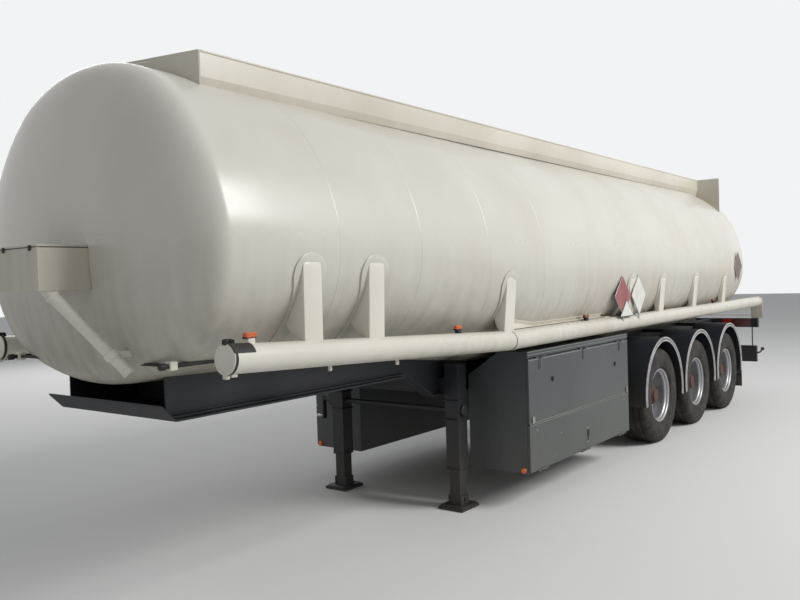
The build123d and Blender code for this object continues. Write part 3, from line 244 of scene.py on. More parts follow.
def shell_ring(x, half_width, top, bottom, share=1.0, proud=0.0):
    """The whole section at x, drawn in by share about its middle, or standing proud by a few millimetres."""
    half = shell_half(half_width + proud, top + proud, bottom - proud)
    whole = np.concatenate([half, half[-2:0:-1] * [-1, 1]])
    middle = np.array([0, (top + bottom) / 2])
    return np.column_stack([np.full(len(whole), x), middle + (whole - middle) * share])


def shell_at(x):
    """Half width, top and bottom of the tank at x, straight between the stations."""
    return [np.interp(x, stations[::-1, 0], stations[::-1, column]) for column in (1, 2, 3)]


def side_at(x, z):
    """The tank's half width at x and height z."""
    half = shell_half(*shell_at(x))
    return np.interp(z, half[::-1, 1], half[::-1, 0])


def dome(station, depth):
    """Rings of a domed end: the depth grows as a power of the sine while the ring shrinks as the cosine's."""
    return [shell_ring(station[0] + depth * sin(angle) ** dome_out_power, *station[1:],
                       max(cos(angle), 0) ** dome_size_power) for angle in np.linspace(0, pi / 2, 22)]


def grid_shape(points, close_u=False, close_v=False):
    """Points on a grid of rows (u) and columns (v), joined by quads. Closing joins last to first."""
    points = np.asarray(points, float)
    rows, columns = points.shape[:2]
    index = np.arange(rows * columns).reshape(rows, columns)
    index = np.concatenate([index, index[:1]]) if close_u else index
    index = np.concatenate([index, index[:, :1]], axis=1) if close_v else index
    quads = np.stack([index[:-1, :-1], index[1:, :-1], index[1:, 1:], index[:-1, 1:]], axis=2)
    return points.reshape(-1, 3), quads.reshape(-1, 4)


def capped(rows):
    """A tube of closed rows, drawn to a point at both ends."""
    rows = np.asarray(rows, float)
    ends = [np.repeat(rows[end].mean(axis=0)[None, None], rows.shape[1], axis=1) for end in (0, -1)]
    return grid_shape(np.concatenate([ends[0], rows, ends[1]]), close_v=True)


def joined(shapes):
    """Several shapes as one, with their faces renumbered."""
    starts = np.cumsum([0] + [len(points) for points, faces in shapes[:-1]])
    return (np.concatenate([points for points, faces in shapes]),
            np.concatenate([faces + start for start, (_, faces) in zip(starts, shapes)]))


def make_piece(name, shapes, material, stands_for="", body="trailer", sharp=35):
    """Joins shapes into one object that rides on body. Doubled points merge, so that poles and seams are
    closed, then the faces are turned outwards and edges sharper than the angle stay crisp."""
    points, faces = joined(shapes)
    mesh = bpy.data.meshes.new(name)
    mesh.from_pydata(points.tolist(), [], faces.tolist())
    shell = bmesh.new()
    shell.from_mesh(mesh)
    bmesh.ops.remove_doubles(shell, verts=shell.verts, dist=1e-5)
    bmesh.ops.recalc_face_normals(shell, faces=shell.faces)
    shell.to_mesh(mesh)
    shell.free()
    mesh.shade_smooth()
    mesh.set_sharp_from_angle(angle=radians(sharp))
    mesh.materials.append(material)
    piece = set_up(mesh, (0, 0, 0), *np.eye(3))
    if stands_for:
        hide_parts(stands_for)
    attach(piece, body)


# the darker colour up to 2.4 m is partly road film and partly painted shade on the lower shell, which turns
# away under the tank
tank_enamel = enamel("off_white_tank_enamel", "#CFCCC2", "#C5C0B4", "#7B7363", 1.15, 2.40,
                     film_and_shade_most=0.75, rough=0.26)
ring_gap = 0.35
rings = dome(stations[0], front_dome)[::-1]
for front, rear in zip(stations[:-1], stations[1:]):
    spans = max(int((front[0] - rear[0]) / ring_gap), 2)
    rings += [shell_ring(*(front + share * (rear - front))) for share in np.arange(1, spans + 1) / spans]
rings += dome(stations[-1], -rear_dome)[1:]
make_piece("tank", [grid_shape(rings, close_v=True)], tank_enamel, "tank_shell")


# Weld seams
# The beads that join the shell's rings and its two ends, laid by machine, dressed flat and painted over.
seam_places = [4.250, 3.455, 2.600, 1.735, 0.835, -0.560, -2.000, -3.300, -4.025, -4.650]
seam_profile = [(-0.008, -0.001), (-0.005, 0.0009), (0.0, 0.0015), (0.005, 0.0009), (0.008, -0.001)]
make_piece("weld_seams", [
    grid_shape([shell_ring(x + away, *shell_at(x + away), proud=proud) for away, proud in seam_profile],
               close_v=True)
    for x in seam_places], tank_enamel)


# Side supports
# Boxed legs of aluminium sheet that carry the side tubes, each welded to the shell over a doubler pad, a
# plate with a round head that spreads the load. A folded shelf runs back from the third leg to the tail one.
def round_corners(corner, steps):
    """Which corner each point of a rectangle with round corners belongs to, and where it lies on the corner's
    quarter arc, anticlockwise."""
    quarters = [((1, 1), 0), ((-1, 1), 90), ((-1, -1), 180), ((1, -1), 270)]
    signs = np.repeat([sign for sign, start in quarters], steps, axis=0)
    return signs, np.concatenate([arc([0, 0], corner, start, start + 90, steps) for sign, start in quarters])


def oblong(width, height, corner, steps=5):
    """A rectangle with round corners, about its middle."""
    signs, bends = round_corners(corner, steps)
    return signs * (np.array([width, height]) / 2 - corner) + bends


def on_shell(x, z, side, proud):
    """Points on the tank's side at x and z: the section's half width read at height z, blended along x."""
    front, rear = side_at(x.max(), z), side_at(x.min(), z)
    share = (x - x.min()) / (x.max() - x.min())
    return np.stack([x, side * (rear + share * (front - rear) + proud), z], axis=-1)


def dress(names, material, soft_edge=0.002):
    """Gives CAD nodes their material and breaks their sharp edges, as on sheared, folded or sawn metal."""
    for name in names.split():
        for holder in nodes[name].material_slots:
            holder.material = material
        add_modifier = nodes[name].modifiers.new
        add_modifier("joined", "WELD").merge_threshold = 1e-5
        flats = add_modifier("flats", "DECIMATE")
        flats.decimate_type = "DISSOLVE"
        flats.angle_limit = radians(0.5)
        edges = add_modifier("edges", "BEVEL")
        edges.width = soft_edge
        edges.segments = 2
        edges.limit_method = "ANGLE"
        edges.angle_limit = radians(40)


# the darker colour over the tubes' lower halves is partly road film and partly painted shade and reflection
# on their undersides
side_enamel = enamel("cream_side_enamel", "#DAD6CA", "#D0CBBE", "#857C6B", 1.30, 1.58,
                     film_and_shade_most=0.55, rough=0.24, hollow=0.0)
tube_y, tube_radius, tube_z, joint_x, tube_rear_x = 1.180, 0.075, 1.415, 2.235, -5.560
mouth_x, mouth_z, hose_radius, hose_wall = 5.100, 1.545, 0.078, 0.005


def tube_height(x):
    """Height of the side tube's middle at x: level to the joint, then rising to the mouth."""
    return tube_z + max(x - joint_x, 0) / (mouth_x - joint_x) * (mouth_z - tube_z)


leg_table = np.array([
    # x, height of the top
    (4.495, 2.037), (3.935, 2.030), (2.302, 1.911), (-0.225, 1.860), (-1.142, 1.855), (-2.336, 1.861),
    (-3.614, 1.843),
])
leg_half, leg_corner, leg_proud, leg_foot_y, leg_edge = 0.075, 0.028, 0.010, 1.205, 0.005
leg_steps, sunk_in = 30, 0.020
web_height, web_foot_y, web_curve = 0.105, 1.163, 1.55
pad_half, pad_waist, pad_thick, pad_foot, pad_sunk = 0.130, 0.104, 0.010, 1.500, 0.002
# share of the pad's outline and how far it stands proud of the shell, from its edge to its middle
pad_rows = [(1.0, -pad_sunk), (1.0, pad_thick - pad_sunk)]
pad_rows += [(share, pad_thick) for share in (0.985, 0.8, 0.55, 0.3, 0.001)]
leg_signs, leg_bends = round_corners(leg_edge, 4)
legs, pads = [], []
for x, top in leg_table:
    foot, tube_top = tube_height(x), tube_height(x) + tube_radius
    round_off = np.radians(np.linspace(0, 90, 6))
    levels = np.concatenate([np.linspace(foot, top - leg_corner, leg_steps),
                             top - leg_corner + leg_corner * np.sin(round_off)])
    inset = np.concatenate([np.zeros(leg_steps), leg_corner * (1 - np.cos(round_off))])
    on_side = side_at(x, levels)
    outer = leg_foot_y + (levels - foot) / (top - foot) * (on_side[-1] + leg_proud - leg_foot_y)
    # below the height where the web leaves the shell, its edge curves out to the tube
    sunk = np.clip((tube_top + web_height - levels) / web_height, 0, 1)
    web_top_y = side_at(x, tube_top + web_height)
    inner = np.where(sunk > 0, web_top_y + (web_foot_y - web_top_y) * sunk**web_curve, on_side - sunk_in)
    # the pad: half a turn over the top, then in to its waist and straight down
    drop = np.linspace(top - leg_half - 0.020, pad_foot, 12)
    edge = np.interp(drop, [pad_foot, top - 0.200, top - leg_half], [pad_waist, pad_waist, pad_half])
    across = np.linspace(-pad_waist, pad_waist, 5)[1:-1]
    outline = np.concatenate([arc(np.array([0, top - leg_half]), pad_half, 0, 180, 17),
                              np.stack([-edge, drop], axis=1),
                              np.stack([across, np.full(3, pad_foot)], axis=1),
                              np.stack([edge, drop], axis=1)[::-1]])
    pad_middle = np.array([0, (top + pad_foot) / 2])
    for side in sides:
        near = np.stack([x - leg_half + inset, side * inner], axis=1)
        far = np.stack([x + leg_half - inset, side * outer], axis=1)
        middle, half = (near + far)[:, None] / 2, np.abs(far - near)[:, None] / 2
        flat = middle + leg_signs * (half - leg_edge) + leg_bends
        legs.append(capped(np.dstack([flat, np.broadcast_to(levels[:, None], flat.shape[:2])])))
        flats = [(pad_middle + (outline - pad_middle) * share, proud) for share, proud in pad_rows]
        pads.append(grid_shape([on_shell(x + flat[:, 0], flat[:, 1], side, proud) for flat, proud in flats],
                               close_v=True))
make_piece("boxed_legs", legs, side_enamel, "side_supports")
make_piece("doubler_pads", pads, tank_enamel)

# the shelf's floor rises to the shell, where it ends in an upstand with a rolled edge
dress("tube_shelves", side_enamel)
shelf_x, upstand_top = [0.300, 1.735, 2.235], [1.532, 1.533, 1.592]
upstand, shelf_outer, shelf_z = 0.027, 1.150, 1.499
sheets = []
for side in sides:
    rows = []
    for x in np.linspace(shelf_x[0], shelf_x[-1], 40):
        rim = np.interp(x, shelf_x, upstand_top)
        foot = rim - upstand
        foot_y, rim_y = side_at(x, [foot, rim])
        rows.append([(x, side * y, z) for y, z in (
            (shelf_outer, shelf_z - 0.008), (shelf_outer, shelf_z), (foot_y + 0.007, foot),
            (rim_y + 0.006, rim - 0.007), (rim_y + 0.011, rim - 0.005), (rim_y + 0.011, rim - 0.001),
            (rim_y + 0.006, rim), (rim_y - 0.004, rim - 0.001), (foot_y - 0.012, foot - 0.012))])
    sheets.append(capped(rows))
make_piece("shelf_floor", sheets, side_enamel)


# Side tubes
# Drawn aluminium tubes along both sides. The rear one is closed by an arched end plate. The front one, which
# holds a delivery hose, slips over a collar at the joint and has a cap on a hinge with a rubber strap.
def turned(profile, steps=48, close_u=False):
    """A profile of radius and height turned about the c axis: radius times (cosine, sine), and the height."""
    radius, height = np.array(profile, float).T
    turn = np.linspace(0, 2 * pi, steps, endpoint=False)
    points = np.stack([radius[:, None] * np.cos(turn), radius[:, None] * np.sin(turn),
                       np.repeat(height[:, None], steps, axis=1)], axis=2)
    return grid_shape(points, close_u=close_u, close_v=True)


def mm(*numbers):
    """Pairs of a radius and a height, or of two distances, given in millimetres."""
    return np.reshape(numbers, (-1, 2)) / 1000


def rod(radius, low, high, steps=20):
    """A plain round bar about the c axis."""
    return turned([(0, low), (radius, low), (radius, high), (0, high)], steps)


def drawn_in(outline, by):
    """The outline moved inwards, corner by corner along the middle of its two edges' outward normals."""
    edges = [outline - np.roll(outline, 1, axis=0), np.roll(outline, -1, axis=0) - outline]
    normals = [edge[:, ::-1] * [1, -1] / np.maximum(np.linalg.norm(edge, axis=1, keepdims=True), 1e-9)
               for edge in edges]
    middle = normals[0] + normals[1]
    return outline - by * 2 * middle / (middle**2).sum(axis=1, keepdims=True)


def stacked(*rows):
    """Flat outlines, each at its own level."""
    return np.stack([np.column_stack([flat, np.full(len(flat), level)]) for flat, level in rows])


def slab(outline, low, high, bevel=0.002):
    """A plate with bevelled rims: the outline carried from low to high, closed towards its middle."""
    inner = drawn_in(outline, bevel)
    return capped(stacked((inner, low), (outline, low + bevel), (outline, high - bevel), (inner, high)))


def placed(shape, origin, across, up):
    """Local points (a, b, c) at origin + a across + b up + c (across x up)."""
    axes = np.stack([across, up, np.cross(across, up)]).astype(float)
    return np.asarray(origin) + shape[0] @ axes, shape[1]


def along_x(shape, x, y, z):
    """A turned shape or slab stood so that its c axis runs forward."""
    return placed(shape, (x, y, z), (0, 1, 0), (0, 0, 1))


def outwards(shape, x, y, z, side):
    """A turned shape or slab stood so that its c axis points away from the trailer's middle."""
    return placed(shape, (x, y, z), (-side, 0, 0), (0, 0, 1))


def upwards(shape, x, y, z):
    """A turned shape or slab laid so that its c axis points up."""
    return placed(shape, (x, y, z), (1, 0, 0), (0, 1, 0))


def block(start, end, corner=0.003, bevel=0.0015):
    """A block between two opposite corners, with round upright edges and bevelled rims."""
    low, high = np.sort(np.array([start, end], float), axis=0)
    size, middle = high - low, (high + low) / 2
    outline = oblong(size[0], size[1], min(corner, size[0] / 3, size[1] / 3), 3)
    return upwards(slab(outline, 0.0, size[2], min(bevel, size[2] / 3, corner / 2)), middle[0], middle[1],
                   low[2])


def wrapped(section, radius, start, end, steps=14):
    """A closed section (distance out, distance along) carried round the c axis from angle start to end:
    radius plus distance out times (cosine, sine)."""
    turn = np.radians(np.linspace(start, end, steps))[:, None]
    out, along = np.array(section, float).T
    return capped(np.dstack([(radius + out) * np.cos(turn), (radius + out) * np.sin(turn), along + 0 * turn]))


def weathered(name, slot, clean, worn, patch, worn_from, worn_to, rough, roughest, grain, bump,
              kind="TexNoise", **levels):
    """A surface clean in some patches and worn in others, in colour and roughness, with a fine grain. patch
    and grain are a size with the noise's detail and roughness, bump a strength and a depth."""
    material, shader, place, add = new_material(name)
    patches = add("MapRange", add("TexNoise", place, 1 / patch[0], *patch[1:]), worn_from, worn_to)
    colour = add("Mix", patches, linear(clean), linear(worn), settings=mixed_colour)
    grains = add(kind, place, 1 / grain[0], *grain[1:])
    fill(shader, Base_Color=colour, Roughness=add("MapRange", patches, 0.0, 1.0, rough, roughest),
         Normal=add("Bump", Strength=bump[0], Distance=bump[1], Height=grains), **levels)
    return material


def moulded_rubber(name, colour, dusty, rough, grain, dusty_from=0.38, dusty_to=0.72, slot="flap_rubber"):
    """Rubber or moulded plastic: matt, and paler where dust lies in its fine grain."""
    return weathered(name, slot, colour, dusty, (0.12, 5.0, 0.65), dusty_from, dusty_to, rough,
                     min(rough + 0.15, 1.0), (grain, 2.0), (0.25, 0.0008), Specular_IOR_Level=0.35)


black_rubber = moulded_rubber("black_moulded_rubber", "#141415", "#3A3936", 0.55, 0.004)
collar_radius, collar_half, soft_rim = 0.081, 0.025, 0.001
plate_radius, plate_thick, plate_foot, plate_corner = 0.088, 0.012, 1.155, 0.020
bar_z, bar_radius = 1.203, 0.005
hose_length = sqrt((mouth_x - joint_x)**2 + (mouth_z - tube_z)**2)
hose_along = np.array([mouth_x - joint_x, 0, mouth_z - tube_z]) / hose_length
hose_up = np.cross(hose_along, [0, 1, 0])
collar_low, collar_high = joint_x - tube_rear_x - collar_half, joint_x - tube_rear_x + collar_half
rear_profile = [(0, 0), (tube_radius, 0), (tube_radius, collar_low), (collar_radius - soft_rim, collar_low),
                (collar_radius, collar_low + soft_rim), (collar_radius, collar_high - soft_rim),
                (collar_radius - soft_rim, collar_high), (0, collar_high)]
corner_y, corner_z = plate_radius - plate_corner, plate_foot - tube_z + plate_corner
arch = np.concatenate([arc([0, 0], plate_radius, 0, 180, 25),
                       arc([-corner_y, corner_z], plate_corner, 180, 270, 5),
                       arc([corner_y, corner_z], plate_corner, 270, 360, 5)])
end_plates = [along_x(slab(arch, -plate_thick, 0.0, 0.003), tube_rear_x, side * tube_y, tube_z)
              for side in sides]
end_plates.append(outwards(rod(bar_radius, -tube_y, tube_y, 12), tube_rear_x - plate_thick / 2, 0, bar_z, 1))
rear_tubes = [along_x(turned(rear_profile), tube_rear_x, side * tube_y, tube_z) for side in sides]
make_piece("rear_side_tubes", rear_tubes, side_enamel, "side_tubes")
make_piece("tube_end_plates", end_plates, side_enamel)
seal_out = collar_radius + 0.0008
seal = turned([(tube_radius, -0.001), (seal_out, -0.001), (seal_out, 0.001), (tube_radius, 0.001)],
              close_u=True)
make_piece("joint_seals", [along_x(seal, joint_x + collar_half, side * tube_y, tube_z) for side in sides],
           black_rubber)

# profile of the open tube with a rolled rim at its mouth, measured back from the mouth
back, rolled = hose_length - collar_half, hose_radius + 0.0015
hose_profile = [(hose_radius, -back), (hose_radius, -0.006), (rolled, -0.004), (rolled, -0.001),
                (hose_radius, 0), (hose_radius - hose_wall, 0), (hose_radius - hose_wall, -back)]
cap_radius, cap_length, cap_gap, hinge_reach = 0.082, 0.026, 0.0003, 0.094
cap_profile = mm(0, 0.3, 79, 0.3, 82, 2.3, 82, 12, 79, 14, 79, 17, 82, 19, 82, 23, 78, 26, 66, 27, 63, 23,
                 30, 23.5, 0, 23.5)
band_profile = mm(78, 2, 83.2, 2, 83.2, 19, 78, 19)
saddle_section = mm(-1, -122, 4, -122, 7, -119, 7, -4, 4, -1, -1, -1)
loop_section = mm(-1, 2, 7, 2, 7, 24, 4, 26, -1, 26)
lug_places, strap_half, strap_turn = (0.026, -0.026), 24, 41
for side, side_name in side_names:
    mouth = np.array([mouth_x, side * tube_y, mouth_z])
    cap_body = f"tube_cap_{side_name}"
    strap_span = (90 - strap_turn * side - strap_half, 90 - strap_turn * side + strap_half)

    def at_mouth(shape, up=0.0, away=0.0, mouth=mouth):
        """A shape whose c axis runs along the tube, a distance up from the mouth's middle and to the left."""
        return placed(shape, mouth + hose_up * up + [0, away, 0], (0, 1, 0), hose_up)

    def on_hinge(shape, away=0.0, ahead=0.0, mouth=mouth):
        """A shape whose c axis is the cap's hinge."""
        return placed(shape, mouth + hose_up * hinge_reach + [0, away, 0] + hose_along * ahead, hose_along,
                      -hose_up)

    hose_tube = at_mouth(turned(hose_profile, 64, close_u=True))
    make_piece(f"hose_tube_{side_name}_rolled", [hose_tube], side_enamel, f"hose_tube_{side_name}")
    make_piece(f"end_cap_{side_name}", [at_mouth(turned(cap_profile, 64))], side_enamel, cap_body, cap_body)
    # hinge: two lugs on the tube hold a knuckle on the cap, and beside them a rubber strap lies over both
    lugs = [on_hinge(rod(0.0085, -0.006, 0.006), away, -0.0001) for away in lug_places]
    ears = [at_mouth(slab(oblong(0.012, 0.026, 0.004), -0.014, 0.001, 0.001), hose_radius + 0.010, away)
            for away in lug_places]
    saddle = at_mouth(wrapped(saddle_section, hose_radius, *strap_span))
    make_piece(f"cap_hinge_{side_name}", [saddle, *lugs, *ears], black_rubber)
    strap = slab(oblong(0.034, 0.030, 0.006), cap_gap + 0.001, cap_length + 0.004, 0.002)
    # a dark band round the cap's rim, in the strap's black, makes the rim dark
    make_piece(f"cap_strap_{side_name}", [
        on_hinge(rod(0.0095, -0.018, 0.018)), at_mouth(strap, cap_radius + 0.004),
        at_mouth(turned(band_profile, 64, close_u=True)),
        at_mouth(wrapped(loop_section, cap_radius, *strap_span))], black_rubber, body=cap_body)
    # latch below: a hook on the cap and its keeper on the tube
    hook = slab(oblong(0.030, 0.024, 0.005), cap_gap + 0.001, cap_length, 0.0015)
    make_piece(f"cap_latch_{side_name}", [at_mouth(hook, -cap_radius - 0.008)], side_enamel, body=cap_body)
    keeper = slab(oblong(0.040, 0.018, 0.004), -0.045, -0.006, 0.0015)
    make_piece(f"latch_keeper_{side_name}", [at_mouth(keeper, -hose_radius - 0.006)], side_enamel)

# drain stubs under the hose tubes
stub = turned(mm(0, 6, 12, 6, 12, -26, 9, -30, 0, -30), 20)
make_piece("drain_stubs", [upwards(stub, x, side * tube_y, tube_height(x) - hose_radius)
                           for x in (4.346, 3.708) for side in sides], side_enamel)

# a black rod beside the neck, held by two small brackets on arms from the rail
rods, brackets = [], []
rod_profile = mm(0, 4700, 13, 4700, 13, 5205, 19, 5208, 19, 5240, 12, 5246, 0, 5246)
for side in sides:
    rods.append(along_x(turned(rod_profile, 20), 0, side * 0.800, 1.502))
    for x, half_long in ((5.164, 0.024), (4.775, 0.015)):
        brackets.append(block((x - half_long, side * 0.776, 1.478), (x + half_long, side * 0.822, 1.526),
                              0.006, 0.003))
        rods.append(block((x - 0.010, side * 0.470, 1.494), (x + 0.010, side * 0.780, 1.510)))
make_piece("neck_rods", rods, black_rubber)
make_piece("rod_brackets", brackets, side_enamel)


# Marker lamps
# Amber side markers of moulded plastic, each a flat oblong lens on a block screwed to the top of the tube,
# and one at the front corner of each cabinet. The lens has a faint emission though unlit: a painted glow
# for the light its reflector throws back.
def lens(name, colour, deep):
    """Moulded clear plastic over a reflector: flutes 5 mm apart, darker between them."""
    material, shader, place, add = new_material(name)
    # a wave of scale s repeats every 2 pi / (20 s) metres
    flutes = add("TexWave", place, 2 * pi / 20 / 0.005, settings={"bands_direction": "X"}).outputs["Fac"]
    # the faint emission is painted light, a glow for the reflector's reflection
    fill(shader, Base_Color=add("Mix", flutes, linear(deep), linear(colour), settings=mixed_colour),
         Roughness=add("MapRange", add("TexNoise", place, 1 / 0.03, 4.0), 0.0, 1.0, 0.12, 0.40),
         Normal=add("Bump", Strength=0.3, Distance=0.001, Height=flutes), Coat_Weight=0.5,
         Emission_Color=linear(colour), Emission_Strength=0.10)
    return material


amber_lens = lens("amber_moulded_lens", "#D8691F", "#9C3F12")
# a darker amber for the lenses of the three rear markers: painted shade
shaded_amber_lens = lens("amber_lens_painted_shade", "#8A4A24", "#4E2A18")
red_lens = lens("red_moulded_lens", "#A8231F", "#6E1212")
marker_places = [4.951, 2.981, 0.801, -1.292, -3.240]
base_height, lens_height = 0.024, 0.042
corner_x, corner_y, corner_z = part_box("cabinet_left")[1][0], 1.142, 0.320
lenses, shaded_lenses, pale_bases, dark_bases = [], [], [], []
for number, x in enumerate(marker_places):
    top = tube_height(x) + (hose_radius if x > joint_x else tube_radius)
    for side in sides:
        y = side * tube_y
        base = upwards(slab(oblong(0.050, 0.030, 0.006), -0.004, base_height), x, y, top)
        (dark_bases if number else pale_bases).append(base)
        holder = slab(oblong(0.074, 0.012, 0.004), -0.020, 0.010)
        dark_bases.append(outwards(holder, x, y, top + base_height + 0.004, side))
        cover = outwards(slab(oblong(0.078, 0.028, 0.013), -0.018, 0.016, 0.006), x, y, top + lens_height,
                         side)
        # the three rear markers take the darker lens, their painted shade
        (shaded_lenses if number > 1 else lenses).append(cover)
corner_lens = turned(mm(0, 0, 23, 0, 24, 2, 24, 14, 21, 20, 12, 23, 0, 23.5), 32)
lenses += [along_x(corner_lens, corner_x, side * corner_y, corner_z) for side in sides]
make_piece("marker_lenses", lenses, amber_lens, "marker_lamps")
make_piece("rear_marker_lenses", shaded_lenses, shaded_amber_lens)
make_piece("marker_bases", pale_bases, side_enamel)
make_piece("marker_holders", dark_bases, black_rubber)


# Coaming
# Walls of aluminium sheet round the top fittings, which keep a spill in and guard the lids if the trailer
# rolls. Their top edge is rolled over a rod, and the front wall is a vee that throws the wind aside.
def bent(corners, radius, steps=7):
    """A path through corners, each rounded by an arc of the radius that touches both its legs."""
    corners = np.array(corners, float)
    path = [corners[0]]
    for before, corner, after in zip(corners[:-2], corners[1:-1], corners[2:]):
        back = (before - corner) / np.linalg.norm(before - corner)
        ahead = (after - corner) / np.linalg.norm(after - corner)
        half = np.arccos(np.clip(back @ ahead, -1, 1)) / 2
        centre = corner + (back + ahead) / np.linalg.norm(back + ahead) * radius / sin(half)
        first = corner + back * radius / np.tan(half) - centre
        last = corner + ahead * radius / np.tan(half) - centre
        swing = pi - 2 * half
        share = np.linspace(0, 1, steps)[:, None]
        rounded = first * np.sin((1 - share) * swing) + last * np.sin(share * swing)
        path.extend(centre + rounded / sin(swing))
    return np.array([*path, corners[-1]])


def pipe(path, radius, reference, steps=14):
    """A round bar along a path: radius times (cosine, sine) across it."""
    path = np.array(path, float)
    ahead = np.gradient(path, axis=0)
    ahead /= np.linalg.norm(ahead, axis=1, keepdims=True)
    across = np.cross(ahead, reference)
    across /= np.linalg.norm(across, axis=1, keepdims=True)
    over = np.cross(across, ahead)
    turn = np.linspace(0, 2 * pi, steps, endpoint=False)[:, None]
    return capped(path[:, None] + radius * (np.cos(turn) * across[:, None] + np.sin(turn) * over[:, None]))


# darker towards its foot, from 3.3 m down to 2.9 m, and at the darker colour over the front box below
coaming_enamel = enamel("coaming_enamel", "#D2CDC0", "#C4BEB0", "#8E8675", 2.9, 3.3,
                        film_and_shade_most=0.5, rough=0.3, hollow=0.03)
dress("coaming_sides coaming_ends", coaming_enamel, 0.003)
coaming_y, coaming_top, roll_radius = 0.660, 3.278, 0.007
coaming_front, coaming_apex, coaming_rear = 4.793, 4.9448, -4.400
around_top = [(0.0, 1), (coaming_front, 1), (coaming_apex, 0), (coaming_front, -1), (coaming_rear, -1),
              (coaming_rear, 1), (0.001, 1)]
round_path = bent([(x, away * coaming_y, coaming_top - roll_radius) for x, away in around_top], 0.03)
make_piece("coaming_rolled_edge", [pipe(round_path, roll_radius, (0, 0, 1), 12)], coaming_enamel)


# Walkway
# A plank of dull aluminium beside the manholes, pierced with raised holes so that boots grip it, with its
# sides folded down and square feet welded to the shell.
def bare_metal(name, clean, stained, rough, grain, metallic=1.0, stain_low=0.42, stain_high=0.62,
               slot="bare_steel"):
    """Unpainted metal: clean in places and stained in others."""
    return weathered(name, slot, clean, stained, (0.18, 7.0, 0.62), stain_low, stain_high, rough,
                     min(rough + 0.3, 0.95), (grain, 3.0), (0.3, 0.0006), Metallic=metallic)


def circle_and_square(steps):
    """Points round a unit circle, and the points of a square's border straight out from them."""
    circle = arc(np.zeros(2), 1, 0, 360, steps + 1)[:-1]
    return circle, circle / np.abs(circle).max(axis=1, keepdims=True)


dull_aluminium = bare_metal("dull_rolled_aluminium", "#B4B5B4", "#8E8D88", 0.42, 0.004, stain_low=0.35,
                            stain_high=0.75, slot="walkway_metal")
walk_low, walk_high = np.array([-4.200, 0.340, 3.208]), np.array([4.500, 0.600, 3.232])
hole_columns, hole_rows, hole_radius = 116, 3, 0.019
top_z, foot_z, fold = walk_high[2] - 0.002, walk_low[2] + 0.018, 0.006
cell = (walk_high[:2] - walk_low[:2]) / [hole_columns, hole_rows]
circle, square = circle_and_square(24)
ring, border = circle * hole_radius, square * cell / 2
hole = stacked((border, top_z), (ring * 1.5, top_z), (ring * 1.1, walk_high[2]), (ring, walk_high[2]),
               (ring, foot_z), (border, foot_z))
sheet = [grid_shape(hole + [*(walk_low[:2] + cell * (column + 0.5, row + 0.5)), 0], close_v=True)
         for column in range(hole_columns) for row in range(hole_rows)]
for y in (walk_low[1] - 0.001, walk_high[1] - 0.005):
    sheet.append(block((walk_low[0], y, walk_low[2]), (walk_high[0], y + fold, top_z + 0.0005)))
for x in (walk_low[0] - 0.001, walk_high[0] - 0.005):
    sheet.append(block((x, walk_low[1], walk_low[2]), (x + fold, walk_high[1], top_z + 0.0005)))
walk_foot, foot_count, crown_points = 0.040, 7, 40
for x in np.linspace(walk_low[0], walk_high[0] - walk_foot, foot_count):
    crown_y, crown_z = shell_half(*shell_at(x))[:crown_points].T
    for y in (walk_low[1], walk_high[1] - walk_foot):
        foot = np.interp(y, crown_y, crown_z) - 0.01
        sheet.append(block((x - walk_foot / 2, y, foot),
                           (x + walk_foot / 2, y + walk_foot, walk_low[2] + 0.004)))
make_piece("pierced_walkway", sheet, dull_aluminium, "walkway", sharp=40)


# Manholes
# Four cast aluminium collars bolted to pads on the crown. Each lid has pressed rings and ribs, six clamp
# nuts and a small filling hatch, and swings back on two hinge barrels.
def spread(shape, radius, count, first=0):
    """Copies of a local shape, evenly on a circle from an angle on: radius times (cosine, sine)."""
    places = arc(np.zeros(2), radius, first, first + 360, count + 1)[:-1]
    return [(shape[0] + [*place, 0], shape[1]) for place in places]


cast_aluminium = bare_metal("cast_aluminium", "#A9AAA8", "#6F6C64", 0.48, 0.006, 0.9, 0.38, slot="cast_metal")
zinc_plate = bare_metal("zinc_plated_steel", "#A8A79F", "#6E6250", 0.38, 0.010, stain_low=0.50,
                        stain_high=0.75)
manhole_places = [3.900, 1.900, -0.700, -3.000]
neck_top, hinge_back, hinge_z, hinge_half, nut_circle, rib_circle = 3.270, 0.279, 3.281, 0.029, 0.238, 0.170
collar = turned(mm(255, -75, 255, -20, 263, -14, 265, -11, 265, -2, 263, 0, 237, 0, 235, -2, 235, -75), 72,
                close_u=True)
lid_disc = turned(mm(0, 0.3, 248, 0.3, 250, 2.3, 250, 8, 247, 11, 228, 11, 222, 16, 214, 18.5, 200, 18.5,
                     194, 15, 142, 14, 136, 17.5, 126, 17.5, 120, 14, 0, 14.5), 72)
hatch = turned(mm(0, 12, 78, 12, 80, 14, 80, 20, 77, 22, 62, 22, 56, 19.5, 30, 19.5, 22, 23.5, 0, 24))
clamp_nut = turned(mm(0, 0, 9.5, 0, 9.5, 7, 8.5, 8, 0, 8), 6)
clamp_stud = turned(mm(0, 0, 4, 0, 4, 4, 0, 5), 12)
necks = []
